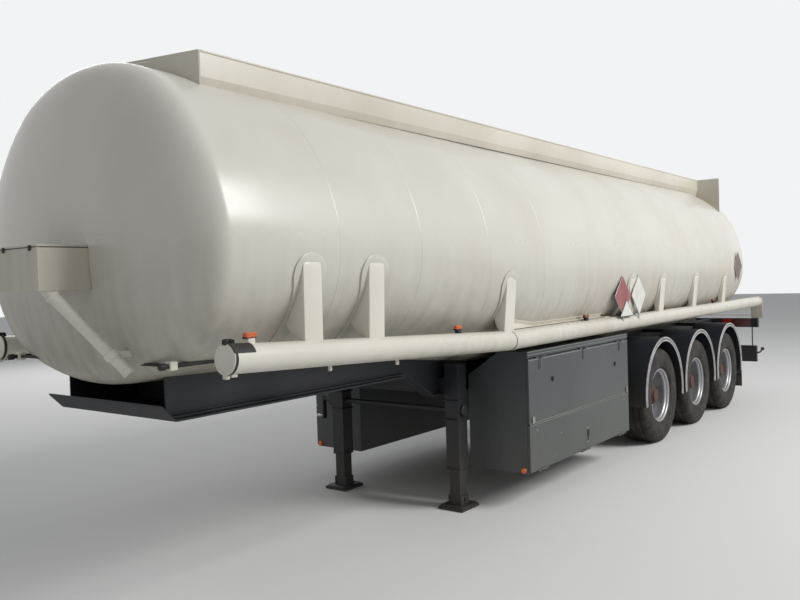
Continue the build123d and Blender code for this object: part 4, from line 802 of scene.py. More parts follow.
for number, x in enumerate(manhole_places, start=1):
    lid_node, hinge_x = f"manhole_lid_{number}", x - hinge_back
    necks.append(upwards(collar, x, 0, neck_top))
    for y in (-0.060, 0.060):
        inside, outside = y - hinge_half, y + hinge_half
        necks += [block((x - 0.284, inside, 3.236), (x - 0.240, outside, 3.266)),
                  block((x - 0.281, inside, 3.262), (x - 0.277, outside, 3.281), 0.001),
                  outwards(rod(0.005, -hinge_half, hinge_half), hinge_x, y, hinge_z, 1)]
    lid = [upwards(lid_disc, x, 0, neck_top), upwards(hatch, x, 0, neck_top)]
    for angle in np.radians(np.arange(22.5, 360, 45)):
        along = np.array([cos(angle), sin(angle), 0])
        lid.append(placed(slab(oblong(0.062, 0.007, 0.003), 0.010, 0.0195),
                          (x, 0, neck_top) + along * rib_circle, along, (-along[1], along[0], 0)))
    lid += [block((hinge_x, -hinge_half, hinge_z - 0.001), (x - 0.190, hinge_half, hinge_z + 0.008)),
            outwards(rod(0.008, -0.030, 0.030, 24), hinge_x, 0, hinge_z, 1)]
    make_piece(f"pressed_lid_{number}", lid, cast_aluminium, lid_node, lid_node)
    # six clamp nuts, and a latch that holds the filling hatch down
    grip = bent([(x + ahead, y, neck_top + rise) for ahead, y, rise in (
        (0.040, -0.052, 0.018), (0.066, -0.052, 0.027), (0.066, 0.052, 0.027), (0.040, 0.052, 0.018))], 0.010)
    make_piece(f"lid_fittings_{number}", [
        upwards(joined(spread(clamp_nut, nut_circle, 6, 30)), x, 0, neck_top + 0.0105),
        upwards(joined(spread(clamp_stud, nut_circle, 6, 30)), x, 0, neck_top + 0.018),
        pipe(grip, 0.005, (0.2, 0, 1), 10)], zinc_plate, body=lid_node)
make_piece("manhole_collars", necks, cast_aluminium, "manhole_necks")


# Vapour pipe
# A cast and drawn aluminium pipe along the crown that gathers the vapour of the four compartments, with a
# branch to each collar, flanged joints and a bend down into the shell at each end.
vapour_y, vapour_z, dip_z = -0.450, 3.214, 3.10
run = bent([(x, vapour_y, z) for x, z in (
    (-4.200, dip_z), (-4.200, vapour_z), (4.350, vapour_z), (4.350, dip_z))], 0.045)
sleeve = turned(mm(0, 145, 36, 145, 38, 147, 38, 157, 36, 159, 0, 159), 24)
tee = turned(mm(0, -50, 36, -50, 38, -45, 38, 45, 36, 50, 0, 50), 24)
flange = turned(mm(0, -10, 46, -10, 48, -8, 48, 8, 46, 10, 0, 10), 32)
vapour = [pipe(run, 0.030, (0, 1, 0), 24)]
for x in manhole_places:
    vapour += [outwards(shape, x, vapour_y, vapour_z, 1) for shape in (rod(0.026, 0, 0.200, 24), sleeve)]
    vapour.append(along_x(tee, x, vapour_y, vapour_z))
vapour += [along_x(flange, x, vapour_y, vapour_z) for x in (-3.900, -1.850, 0.600, 2.900, 4.150)]
make_piece("vapour_line", vapour, cast_aluminium, "vapour_pipe")


# Chassis
# Steel rails with a wide flange, channels between them, hangers and trailing arms, all under a dull
# blue-black chassis paint that is dusty below and chipped to rust.
chassis_enamel = enamel("dull_chassis_paint", "#14161B", "#1C1F25", "#4C463D", 0.20, 1.20,
                        film_and_shade_most=0.40, rough=0.50, hollow=0.03, chips="#4A3026")
dress("chassis_rails neck_rails axle_hangers cross_members coupling_skid guard_bars light_board rear_bumper",
      chassis_enamel, 0.003)
dress("landing_legs", chassis_enamel, 0.004)
dress("trailing_arms", chassis_enamel, 0.006)
axle_places = [-1.125, -2.435, -3.745]
axle_z, rail_y, flange_half = 0.530, 0.500, 0.059
bolt_profile = mm(0, 0, 17, 0, 17, 10, 15, 12, 0, 12)
bolt_head, washer = turned(bolt_profile, 6), rod(0.022, -0.002, 0.003)
bolts = []
for side in sides:
    for x in axle_places:
        for y, away in ((rail_y + flange_half, side), (rail_y - flange_half, -side)):
            for ahead, z in ((0.480, 0.640), (0.420, 0.900), (0.540, 0.900)):
                bolts += [outwards(shape, x + ahead, side * y, z, away) for shape in (bolt_head, washer)]
    # where the legs' brackets are bolted to the rails
    bolts += [outwards(bolt_head, x, side * 0.4935, z, -side) for z in (0.990, 1.070) for x in (2.190, 2.270)]
make_piece("chassis_bolts", bolts, zinc_plate)


# Kingpin
# A forged two-inch pin, bright and greased where the jaws close on its neck.
greased_steel = bare_metal("greased_forged_steel", "#77736C", "#2E2A26", 0.30, 0.008, stain_low=0.30,
                           stain_high=0.60)
pin_profile = mm(0, 2, 35.75, 2, 35.75, -32, 33.5, -35, 27, -36, 25.4, -38, 25.4, -67, 27, -69, 33.5, -70,
                 35.75, -72, 35.75, -81.5, 33.5, -84, 12, -84, 10, -82, 0, -82)
root_profile = mm(0, 1, 95, 1, 95, -4, 92, -6, 0, -6)
make_piece("forged_kingpin", [upwards(turned(profile), 4.025, 0, 1.160)
                              for profile in (pin_profile, root_profile)],
           greased_steel, "kingpin")


# Landing legs
# Telescoping legs of square steel tube with a gear box on the crank's side and a shaft across to the other
# leg. The foot plate turns on a pin, and the crank folds down the leg when it isn't used.
leg_x, leg_y, shaft_y, shaft_z, crank_y = 2.230, 0.640, 0.705, 0.820, 0.874
bearing = turned(mm(0, 0, 46, 0, 46, 22, 38, 30, 0, 30), 32)
leg_details = []
for side in sides:
    y = side * leg_y
    # bands round the leg: half width, bottom and top
    for half, low, high in ((0.070, 0.324, 0.336), (0.070, 0.339, 0.351), (0.080, 0.740, 0.752),
                            (0.080, 0.900, 0.912)):
        leg_details.append(block((leg_x - half, y - half, low), (leg_x + half, y + half, high), 0.010, 0.003))
    for cheek in (y - 0.059, y + 0.059):
        leg_details.append(block((leg_x - 0.060, cheek - 0.005, 0.020),
                                 (leg_x + 0.060, cheek + 0.005, 0.110)))
    leg_details += [outwards(rod(0.014, -0.075, 0.075), leg_x, y, 0.075, 1),
                    upwards(slab(oblong(0.250, 0.230, 0.030), 0.0235, 0.034, 0.004), leg_x, y, 0),
                    outwards(bearing, leg_x, side * shaft_y, shaft_z, side)]
gear_box = slab(oblong(0.120, 0.150, 0.030), 0.0, 0.060, 0.008)
leg_details.append(outwards(gear_box, leg_x, -shaft_y, 0.850, -1))
make_piece("leg_details", leg_details, chassis_enamel)
make_piece("crank_grip", [
    outwards(turned(mm(0, 0, 12, 0, 12.5, 80, 0, 82), 20), leg_x, -crank_y, 0.652, -1),
    outwards(turned(mm(0, -30, 17, -30, 17, -1, 0, 1), 20), leg_x, -crank_y, shaft_z, -1)], zinc_plate)


# Axles
# Round beams of steel tube with forged seats clamped to the trailing arms by U bolts, and brake chambers
# of pressed steel, whose two halves are held by a clamp band, that push the slack adjusters.
beam = turned(mm(0, -838, 62, -838, 64, -836, 64, 836, 62, 838, 0, 838))
spindle = rod(0.0396, -1.120, 1.120, 32)
chamber = turned(mm(0, 0, 40, 0, 58, 6, 66, 22, 66, 60, 72, 64, 72, 78, 66, 82, 66, 112, 58, 138, 36, 149,
                    12, 150, 0, 150), 40)
seat_half, chamber_y, chamber_ahead = 0.064, 0.330, 0.150
beams, chambers, u_bolts = [], [], []
for x in axle_places:
    beams += [outwards(shape, x, 0, axle_z, 1) for shape in (beam, spindle)]
    for side in sides:
        y, bracket_y, front = side * rail_y, side * chamber_y, x + chamber_ahead
        beams.append(block((x - seat_half, y - 0.045, axle_z), (x + seat_half, y + 0.045, axle_z + seat_half),
                           0.012, 0.004))
        beams.append(block((x, bracket_y - 0.015, axle_z - 0.030),
                           (front, bracket_y + 0.015, axle_z + 0.030)))
        chambers.append(along_x(chamber, front, bracket_y, axle_z))
        for bolt_y in (y - 0.052, y + 0.052):
            for bolt_x in (x - 0.060, x + 0.060):
                bolt = bent([(bolt_x, bolt_y, axle_z + 0.150), (bolt_x, bolt_y, axle_z - 0.058),
                             (x, bolt_y, axle_z - 0.074)], 0.030)
                u_bolts.append(pipe(bolt, 0.009, (0, 1, 0), 10))
        u_bolts.append(along_x(rod(0.009, -chamber_ahead, 0.002, 16), front, side * 0.300, axle_z + 0.040))
make_piece("axle_tubes", beams, chassis_enamel, "axle_beams")
make_piece("brake_chambers", chambers, chassis_enamel)
make_piece("axle_u_bolts", u_bolts, zinc_plate)


# Air springs
# Moulded rubber bellows that swell out over a piston, clamped under a steel plate at the rail.
def at_springs(profile):
    """A turned profile stood at each of the six springs."""
    return [upwards(turned(profile), x - 0.400, side * rail_y, 0.645) for x in axle_places for side in sides]


dusty_rubber = moulded_rubber("dusty_bellows_rubber", "#1B1B1B", "#4A4540", 0.62, 0.005)
bellows_profile = mm(0, 0, 94, 0, 98, 4, 98, 80, 96, 100, 98, 108, 112, 104, 128, 108, 137, 122, 140, 145,
                     140, 215, 136.5, 222, 140, 229, 140, 250, 136, 272, 126, 286, 110, 292.5,
                     100, 293, 0, 293)
make_piece("bellows", at_springs(bellows_profile), dusty_rubber, "air_springs")
make_piece("bellows_plates", at_springs(mm(0, 292, 110, 292, 112, 294, 112, 304, 110, 305, 0, 305)),
           chassis_enamel)


# Air tanks
# Two brake reservoirs of steel with domed ends, strapped to saddles on the cross members.
tank_radius, dome_depth, tank_rear, tank_front, tank_z = 0.118, 0.050, -0.800, 0.400, 0.834
turn = np.radians(np.linspace(0, 90, 9))
rear_end = np.stack([tank_radius * np.sin(turn), tank_rear + dome_depth * (1 - np.cos(turn))], axis=1)
front_end = np.stack([tank_radius * np.cos(turn), tank_front - dome_depth * (1 - np.sin(turn))], axis=1)
drain = turned(mm(0, 10, 16, 10, 16, -10, 10, -12, 0, -12), 6)
strap = turned(mm(116, -20, 120.5, -20, 120.5, 20, 116, 20), close_u=True)
reservoirs, straps = [], []
for y in (0.210, -0.210):
    reservoirs += [along_x(turned([*rear_end, *front_end]), 0, y, tank_z),
                   upwards(drain, -0.200, y, tank_z - tank_radius)]
    for x in (-0.700, 0.300):
        straps += [along_x(strap, x, y, tank_z),
                   block((x - 0.030, y - 0.059, tank_z + 0.080), (x + 0.030, y + 0.059, tank_z + 0.130))]
make_piece("reservoirs", reservoirs, chassis_enamel, "air_tanks")
make_piece("reservoir_straps", straps, zinc_plate)


# Wheels
# Single wheels of pressed steel, deep dished: a rolled rim welded round a disc with ten hand holes, held to
# a rusty cast hub by ten nuts. The silver paint is clean on the lip and brown with brake dust inside.
def make_wheels(name, shapes, material, stands_for="", sharp=35):
    """A piece at each of the six wheels, from local shapes with c along the axle."""
    for number, x in enumerate(axle_places, start=1):
        for side, side_name in side_names:
            place = f"{side_name}_{number}"
            wheel = outwards(joined(shapes), x, side * track_half, axle_z, side)
            make_piece(f"{name}_{place}", [wheel], material, f"{stands_for}_{place}" if stands_for else "",
                       f"road_wheel_{place}", sharp=sharp)


wheel_enamel = enamel("silver_wheel_paint", "#B6B8BC", "#A3A4A6", "#5E5145", 0.10, 0.95,
                      film_and_shade_most=0.45, rough=0.30, hollow=0.0, chips="#6E4A38", metallic=0.8)
rusty_iron = bare_metal("rusty_cast_iron", "#43352F", "#63463B", 0.72, 0.010, 0.15, 0.35)
track_half = 1.020
rim_profile = mm(259, -14, 259, 100, 259.5, 122, 263, 130, 272, 136, 277, 139, 278, 150, 281, 157, 288, 163,
                 296, 165, 300, 162.5, 300, 158, 297, 156.5, 288, 156, 286, 152, 286, -152, 288, -156,
                 297, -156.5, 300, -158, 300, -162.5, 296, -165, 286, -163, 278, -157, 277, -139,
                 262, -129, 259, -110)
disc_profile = mm(112, -13, 112, 2, 150, 4, 188, 3, 205.5, 0, 205.5, -13)
weld_profile = mm(258.5, -1, 260.5, 8, 261.5, -1)
hub_profile = mm(0, -14, 112, -14, 112, 30, 108, 50, 111, 60, 111, 74, 106, 80, 86, 84, 80, 90, 70, 101,
                 70, 112, 66, 117, 30, 118, 0, 118)
drum_profile = mm(0, -14, 203, -14, 205, -18, 205, -60, 198, -64, 198, -120, 204, -124, 204, -148, 200, -150,
                  41, -150, 41, -20, 0, -20)
nut_profile = mm(0, 3, 16.5, 3, 16.5, 20, 14.5, 24, 11.5, 24.5, 11, 32, 0, 33)
# the ring of hand holes: one pierced cell a hole, rows from the cell's border in to the hole and back
hole_count, cell_low, cell_high, hole_circle, hand_hole, plate_depth = 10, 0.205, 0.2592, 0.232, 0.022, 0.012
circle, square = circle_and_square(32)
border_radius = ((cell_high + cell_low) + square[:, 0] * (cell_high - cell_low)) / 2
border_turn = square[:, 1] * pi / hole_count
border = border_radius[:, None] * np.stack([np.cos(border_turn), np.sin(border_turn)], axis=1)
edge = np.array([hole_circle, 0]) + circle * hand_hole
pierced = grid_shape(stacked((border, 0), (edge + circle * 0.004, 0), (edge, -0.003), (edge, -plate_depth),
                             (border, -plate_depth)), close_v=True)
cells = [placed(pierced, (0, 0, 0), (cos(swing), sin(swing), 0), (-sin(swing), cos(swing), 0))
         for swing in 2 * pi / hole_count * np.arange(hole_count)]
rounds = [turned(profile, 96, close_u=True) for profile in (rim_profile, disc_profile, weld_profile)]
make_wheels("rim", [*cells, *rounds], wheel_enamel, "wheel")
hub_bolts = spread(turned(mm(0, 78, 8, 78, 8, 90, 0, 91), 6), 0.094, 10)
make_wheels("hub", [turned(hub_profile, 64), turned(drum_profile, 64), *hub_bolts], rusty_iron)
make_wheels("wheel_nuts", [nut for shape in (turned(nut_profile, 6), rod(0.021, 0.002, 0.006, 16))
                           for nut in spread(shape, 0.1675, 10, 18)], zinc_plate)


# Tyres
# Wide single tyres, 385 mm across, with four circumferential grooves, notched shoulders, rim protectors
# and moulded rings on the sidewall. Dust from the road browns the shoulder and the sidewall.
road_rubber = moulded_rubber("dusty_tyre_rubber", "#191817", "#4B453E", 0.66, 0.004, 0.40, 0.80,
                             "tyre_rubber")
# radius and distance outwards, from the bead to the tread's edge
wall = mm(287, 150, 300, 154.5, 306, 160, 312, 168, 322, 176, 330, 177, 332, 180.5, 345, 181.5, 347, 184,
          380, 190, 382, 188.5, 410, 192.5, 440, 191.5, 442, 190, 462, 188.5, 464, 190.5, 470, 190, 472, 187,
          490, 182, 505, 174, 516, 165, 522, 157, 526, 148, 528.5, 135)
groove_places, groove_half, groove_depth = (0.105, 0.037), 0.005, 0.012
tread = []
for groove in groove_places:
    # the tread is crowned by a fraction of a millimetre
    crowned = 0.530 - 0.0012 * (groove / 0.037 - 1) / 2
    tread += [(crowned - deep, groove + away) for deep, away in (
        (0, groove_half + 0.0015), (0.0015, groove_half), (groove_depth, groove_half - 0.001),
        (groove_depth, 0.001 - groove_half), (0.0015, -groove_half), (0, -groove_half - 0.0015))]
half_tyre = np.concatenate([wall, tread])
whole_tyre = np.concatenate([half_tyre, (half_tyre * [1, -1])[::-1]])
tyre_steps, notch_depth = 144, 0.005
turn = np.linspace(0, 2 * pi, tyre_steps, endpoint=False)
radius, out = (np.repeat(whole_tyre[:, column, None], tyre_steps, axis=1) for column in (0, 1))
# a notch in each shoulder at every third step
notch = (radius > 0.495) & (np.abs(out) > 0.125) & (np.arange(tyre_steps) % 3 == 0)
radius = radius - notch * notch_depth
out = out - notch * np.sign(out) * 0.004
tyre = grid_shape(np.stack([radius * np.cos(turn), radius * np.sin(turn), out], axis=2), close_u=True,
                  close_v=True)
make_wheels("road_tyre", [tyre], road_rubber, "tyre", 28)


# Mudguards
# A horseshoe of painted sheet over each wheel, carried by a bar from the rail. A grey moulded edging with
# two beads is pushed over its outer rim.
def around_wheels(section):
    """A closed section (y, distance in) carried over each wheel, on both sides of the trailer."""
    arch = wrapped([(-deep, y) for y, deep in section], guard_radius, 90 - guard_half, 90 + guard_half, 65)
    return [outwards(arch, x, 0, guard_z, side) for x in axle_places for side in sides]


guard_enamel = enamel("navy_mudguard_enamel", "#171A23", "#20242E", "#5A5246", 0.40, 1.10,
                      film_and_shade_most=0.4, rough=0.38, hollow=0.04)
bead_rubber = moulded_rubber("light_grey_edging", "#BDBEBC", "#8E8B84", 0.45, 0.006, 0.45, 0.75)
band_rubber = moulded_rubber("grey_edging_band", "#6E6F6E", "#5A5853", 0.55, 0.006, 0.45, 0.75)
guard_radius, guard_sheet, guard_lip, guard_half, guard_z = 0.610, 0.006, 0.030, 100, axle_z + 0.050
guard_inner, guard_outer = 0.815, 1.245
lip_inner = guard_outer - guard_sheet
guard_section = [(guard_inner, 0.0), (guard_outer - 0.004, 0.0), (guard_outer, 0.004),
                 (guard_outer, guard_lip), (lip_inner, guard_lip), (lip_inner, guard_sheet + 0.003),
                 (lip_inner - 0.003, guard_sheet), (guard_inner, guard_sheet)]
flap_x = axle_places[-1] - guard_radius * sin(radians(guard_half))
flap_low, flap_high = 0.238, guard_z + guard_radius * cos(radians(guard_half)) - guard_sheet
tabs = [block((flap_x, side * guard_inner, flap_high - 0.048),
              (flap_x + guard_sheet, side * guard_outer, flap_high + 0.012), 0.002) for side in sides]
make_piece("guard_arcs", [*around_wheels(guard_section), *tabs], guard_enamel, "mudguards")
beads = [arc([guard_outer + 0.001, deep], 0.0065, 0, 360, 11)[:-1] for deep in (0.005, 0.041)]
make_piece("edging_beads", [arch for bead in beads for arch in around_wheels(bead)], bead_rubber)
band = [(guard_outer - 0.001, 0.003), (guard_outer + 0.003, 0.003), (guard_outer + 0.003, 0.043),
        (guard_outer - 0.001, 0.043)]
make_piece("edging_bands", around_wheels(band), band_rubber)


# Mudflaps
# Thick rubber sheets bolted behind the last wheels, with upright ribs pressed on the back and a slow wave.
flap_rubber = moulded_rubber("flap_rubber_sheet", "#1A1A1A", "#575046", 0.68, 0.006, 0.35, 0.75)
rib_pitch, rib_height, wave_height = 0.020, 0.0015, 0.0035
across, up = np.meshgrid(np.linspace(guard_inner, guard_outer, 87), np.linspace(flap_low, flap_high, 33))
hang = (flap_high - up) / (flap_high - flap_low)
wave = wave_height * hang * np.sin((across - guard_inner) / (guard_outer - guard_inner) * 3 * pi)
rib = rib_height * (np.cos((across - guard_inner) / rib_pitch * 2 * pi) > 0)
flaps, flap_bolts = [], []
small_bolt = turned(bolt_profile * [0.6, 1], 6)
for side in sides:
    front = np.stack([flap_x - 0.001 + wave, side * across, up], axis=2)
    back = np.stack([flap_x - 0.0065 + wave - rib, side * across, up], axis=2)
    loop = np.concatenate([front, back[:, ::-1]], axis=1)
    # the top and bottom edges close along the middle of the sheet
    middle = (loop + loop[:, ::-1]) / 2
    flaps.append(grid_shape(np.concatenate([middle[:1], loop, middle[-1:]]), close_v=True))
    flap_bolts += [along_x(small_bolt, flap_x + 0.006, side * y, flap_high - 0.030)
                   for y in (0.87, 0.97, 1.09, 1.19)]
make_piece("hanging_flaps", flaps, flap_rubber, "mudflaps")
make_piece("flap_bolts", flap_bolts, zinc_plate)


# Cabinets
# Equipment cabinets of folded sheet in grey satin enamel. The upper door hangs from a hinge rail below the
# roof, the lower flap drops forward, and both have locks, catches and a pale strip along the seam, a painted
# highlight where the edges catch the light.
def along_cabinet(side, y, thick, low, high, end_gap=0.010, corner=0.001):
    """A strip on one side, as long as the cabinet less a gap at both ends."""
    return block((cabinet_rear + end_gap, side * y, low),
                 (cabinet_front - end_gap, side * (y + thick), high), corner)


cabinet_enamel = enamel("grey_satin_enamel", "#3B4143", "#454B4C", "#6C675D", 0.28, 1.25,
                        film_and_shade_most=0.35, rough=0.42, hollow=0.04)
# pale paint for the latch plates, and painted highlights for the strips along the rail's and the doors' edges
pale_paint_and_highlight = enamel("pale_paint_and_edge_highlight", "#A5A59E", "#8F8E86", "#6E685C", 0.3, 1.3,
                     film_and_shade_most=0.5, rough=0.45, hollow=0.0, chips="#4A5052")
dress("cabinet_left cabinet_right", cabinet_enamel)
dress("cabinet_door_left cabinet_door_right cabinet_flap_left cabinet_flap_right", cabinet_enamel, 0.003)
cabinet_front, cabinet_rear, header_y, face_y, sunk = 1.995, -0.145, 1.190, 1.200, 0.001
latch_x, latch_z, paddle_z = 0.870, 0.429, 0.446
lock = turned(mm(0, -1, 21, -1, 23, 1, 23, 4, 20, 7, 12, 7, 10, 4, 0, 4), 32)
strap_rivet = turned(mm(0, 0, 6, 0, 6, 3, 3, 4.5, 0, 5), 12)
flap_rivet = turned(mm(0, 0, 7, 0, 6.5, 2, 3, 3.8, 0, 4), 14)
for side, side_name in side_names:
    door, flap = f"cabinet_door_{side_name}", f"cabinet_flap_{side_name}"
    low_y = side * (face_y - sunk)
    make_piece(f"hinge_rail_{side_name}", [along_cabinet(side, header_y - 0.002, 0.010, low, high, 0, 0.002)
                                           for low, high in ((1.252, 1.274), (1.277, 1.300))], cabinet_enamel)
    # two pale lines along the rail's edges, painted highlights where the edges catch the light
    make_piece(f"rail_edge_highlights_{side_name}", [along_cabinet(side, header_y + 0.006, 0.0035, z, z + 0.003, 0)
                                          for z in (1.2715, 1.2965)], pale_paint_and_highlight)
    # door: pale strips at its upper and lower edge, painted highlights where the edges catch the light, hinge
    # straps, two locks and two catches at the seam
    make_piece(f"door_edges_{side_name}", [along_cabinet(side, face_y - sunk, 0.005, low, high)
                                           for low, high in ((0.7015, 0.7060), (1.2270, 1.2310))],
               pale_paint_and_highlight, body=door)
    straps, pins, locks = [], [], []
    for x in (0.069, 0.925, 1.781):
        straps.append(block((x - 0.024, low_y, 1.140), (x + 0.024, side * (face_y + 0.005), 1.232), 0.006))
        pins += [outwards(strap_rivet, x, side * (face_y + 0.004), z, side) for z in (1.158, 1.182, 1.206)]
        pins.append(along_x(rod(0.0085, -0.031, 0.031), x, side * 1.206, 1.240))
    make_piece(f"hinge_straps_{side_name}", straps, cabinet_enamel, body=door)
    make_piece(f"hinge_pins_{side_name}", pins, black_rubber, body=door)
    for x, z in ((1.561, 1.034), (0.203, 1.025)):
        locks += [outwards(lock, x, side * face_y, z, side),
                  block((x - 0.005, side * (face_y + 0.003), z - 0.016),
                        (x + 0.005, side * (face_y + 0.012), z + 0.016), 0.003, 0.002)]
    make_piece(f"door_locks_{side_name}", locks, black_rubber, body=door)
    # flap: a paddle latch sunk in a dish on a pale plate, rivets and a pale strip at its upper edge, a
    # painted highlight
    dish = slab(oblong(0.062, 0.132, 0.010), -sunk, 0.003, 0.001)
    make_piece(f"latch_plate_{side_name}", [outwards(dish, latch_x, side * face_y, latch_z, side)],
               pale_paint_and_highlight, body=flap)
    bowl = slab(oblong(0.050, 0.118, 0.007), 0.001, 0.004, 0.0015)
    paddle = slab(oblong(0.036, 0.060, 0.006), 0.003, 0.010, 0.003)
    make_piece(f"paddle_latch_{side_name}", [outwards(bowl, latch_x, side * face_y, latch_z, side),
                                             outwards(paddle, latch_x, side * face_y, paddle_z, side)],
               black_rubber, body=flap)
    make_piece(f"flap_rivets_{side_name}", [
        outwards(flap_rivet, x, side * (face_y - 0.0005), z, side)
        for x, z in ((1.417, 0.537), (0.169, 0.353), (1.533, 0.370), (1.860, 0.640), (-0.020, 0.640))],
        zinc_plate, body=flap)
    make_piece(f"flap_edge_{side_name}", [along_cabinet(side, face_y - sunk, 0.004, 0.6880, 0.6915)],
               pale_paint_and_highlight, body=flap)
    make_piece(f"seam_catches_{side_name}", [
        block((x - 0.018, low_y, 0.703), (x + 0.018, side * (face_y + 0.012), 0.760), 0.004, 0.003)
        for x in (1.930, -0.085)], zinc_plate, body=door)


# Discharge pipes
# Four bottom outlets in the right-hand cabinet, cast aluminium with a lever valve, each closed by a cap
# with two cam arms.
outlet_z = 0.930
outlet = turned(mm(0, 640, 54, 640, 54, 900, 66, 905, 66, 925, 54, 930, 54, 1090, 70, 1096, 76, 1104,
                   76, 1128, 72, 1140, 60, 1144, 56, 1140, 0, 1140))
outlets, arms = [], []
for x in (0.295, 0.715, 1.135, 1.555):
    outlets.append(outwards(outlet, x, 0, outlet_z, -1))
    for away in sides:
        bends = ((0.074, -1.118), (0.088, -1.100), (0.084, -1.020))
        arm = bent([(x + away * ahead, y, outlet_z) for ahead, y in bends], 0.010)
        arms.append(pipe(arm, 0.005, (0, 0, 1), 10))
    arms.append(block((x - 0.006, -0.918, 0.990), (x + 0.006, -0.908, 1.100)))
make_piece("outlet_castings", outlets, cast_aluminium, "discharge_pipes")
make_piece("outlet_levers", arms, zinc_plate)


# Tail lamps
# Three-chamber lamps with red and amber lenses in black housings on the light board, and an outline lamp
# at the end of a rubber arm on each side of the bumper. The front of the board carries a panel in dark red
# sheet and a red reflector beside it.
board_x, board_front, lamp_z, lamp_half, lens_half = -5.520, -5.501, 1.086, 0.055, 0.047
panel_enamel = enamel("dark_red_panel_enamel", "#4A1F20", "#573030", "#4C463D", 0.9, 1.2,
                      film_and_shade_most=0.4, rough=0.45, hollow=0.0)
red_cover = turned(mm(0, -26, 10, -24, 20, -17, 24, -5, 0, -4), 32)
dark_cover = turned(mm(0, 4, 24, 5, 20, 17, 10, 24, 0, 26), 32)
housings, reds, ambers, panels = [], [], [], []
for side in sides:
    for y, chambers in ((0.755, reds), (0.930, reds), (1.105, ambers)):
        housings.append(block((board_x - 0.028, side * y - 0.075, lamp_z - lamp_half),
                              (board_x, side * y + 0.075, lamp_z + lamp_half), 0.010, 0.004))
        chambers.append(block((board_x - 0.038, side * y - 0.067, lamp_z - lens_half),
                              (board_x - 0.020, side * y + 0.067, lamp_z + lens_half), 0.010, 0.006))
    arm = [(-5.530, side * 1.180, 0.610), (-5.550, side * 1.220, 0.620), (-5.599, side * 1.245, 0.670)]
    housings += [pipe(bent(arm, 0.020), 0.012, (0, 0, 1), 16),
                 along_x(rod(0.026, -0.006, 0.006, 32), *arm[-1]), along_x(dark_cover, *arm[-1])]
    reds.append(along_x(red_cover, *arm[-1]))
    panels.append(block((board_front, side * 0.820, 1.024), (board_front + 0.006, side * 1.100, 1.150),
                        0.002))
    reds.append(block((board_front, side * 0.680, 1.030), (board_front + 0.011, side * 0.810, 1.145), 0.006))
make_piece("board_panels", panels, panel_enamel)
make_piece("lamp_housings", housings, black_rubber, "tail_lamps")
make_piece("red_lenses", reds, red_lens)
make_piece("amber_lenses", ambers, amber_lens)


# Ladder
# Round aluminium stiles bent over to the coaming, with knurled rungs, on the right of the domed tail.
stile_x, stile_top, rung_end = -5.400, 3.225, 0.180
rung_heights = 1.350 + 0.300 * np.arange(6)
weld = turned(mm(10, -4, 15, -2, 15, 2, 10, 4), 20, close_u=True)
knurl = np.linspace(-rung_end, rung_end, 61)
rung = turned([(0, -rung_end), *zip(0.0105 + 0.0008 * (np.arange(61) % 2), knurl), (0, rung_end)], 20)
ladder = []
for y, inwards in ((-0.460, 0.018), (-0.100, -0.018)):
    stile = bent([(stile_x, y, 1.070), (stile_x, y, stile_top), (-4.400, y, stile_top)], 0.180, 13)
    ladder.append(pipe(stile, 0.016, (0, 1, 0), 20))
    ladder.append(block((stile_x - 0.035, y - 0.030, 1.064), (stile_x + 0.035, y + 0.030, 1.080), 0.008,
                        0.003))
    ladder += [outwards(weld, stile_x, y + inwards, z, 1) for z in rung_heights]
ladder += [outwards(rung, stile_x, -0.280, z, 1) for z in rung_heights]
make_piece("tail_ladder", ladder, dull_aluminium, "rear_ladder")


# Hazard plates
# Square plates of aluminium stood on a corner, in blank red and white reflective sheet with a turned rim,
# two on posts behind the tube and one on the shell near the tail, and a white three-cornered plate. The
# one near the tail is a darkened red: painted shade.
def reflective_sheet(name, colour, faded):
    """Reflective sheet on aluminium: cells 6 mm across that catch the light, faded and dusty in patches."""
    return weathered(name, "plate_sheet", colour, faded, (0.10, 5.0, 0.6), 0.40, 0.75, 0.28, 0.55, (0.006,),
                     (0.2, 0.0006), "TexVoronoi")


def round_outline(points, radius):
    """A closed outline with round corners, from the middle of its last edge on."""
    start = (*(np.add(points[0], points[-1]) / 2), 0)
    return bent([start, *((*point, 0) for point in points), start], radius, 5)[1:, :2]


red_sheet = reflective_sheet("faded_red_reflective_sheet", "#8C4244", "#A06460")
white_sheet = reflective_sheet("white_reflective_sheet", "#D6D6CF", "#C6C3B9")
# the plate on the shell near the tail: red sheet darkened as painted shade
shaded_red_sheet = reflective_sheet("red_sheet_painted_shade", "#5A4644", "#6C5A56")
placard_side, placard_y = 0.300, 1.256
diamond = round_outline(np.array([[0, -1], [1, 0], [0, 1], [-1, 0]]) * placard_side / sqrt(2), 0.016)
plate_backs, triangle_rims, red_plates, white_plates, brown_plates = [], [], [], [], []
# half width, inner and outer y, low and high z and corner of the plates' posts and bracket
posts = [(0.013, 1.244, 1.252, 1.440, 1.832, 0.003), (0.013, 1.150, 1.252, 1.434, 1.442, 0.003)]
bracket = [(0.026, 1.100, 1.252, 1.954, 2.006, 0.004)]
for x, z, plates, holders in ((0.075, 1.692, red_plates, posts), (-0.355, 1.692, white_plates, posts),
                              (-4.230, 1.980, brown_plates, bracket)):
    for side in sides:
        plate_backs.append(outwards(slab(diamond, placard_y - 0.004, placard_y, 0.001), x, 0, z, side))
        plates.append(outwards(slab(drawn_in(diamond, 0.010), placard_y - 0.001, placard_y + 0.0012, 0.0005),
                               x, 0, z, side))
        plate_backs += [block((x - half, side * y_in, low), (x + half, side * y_out, high), corner, 0.001)
                        for half, y_in, y_out, low, high, corner in holders]
triangle = np.array([(-0.006, 1.658), (0.182, 1.482), (-0.196, 1.482)])
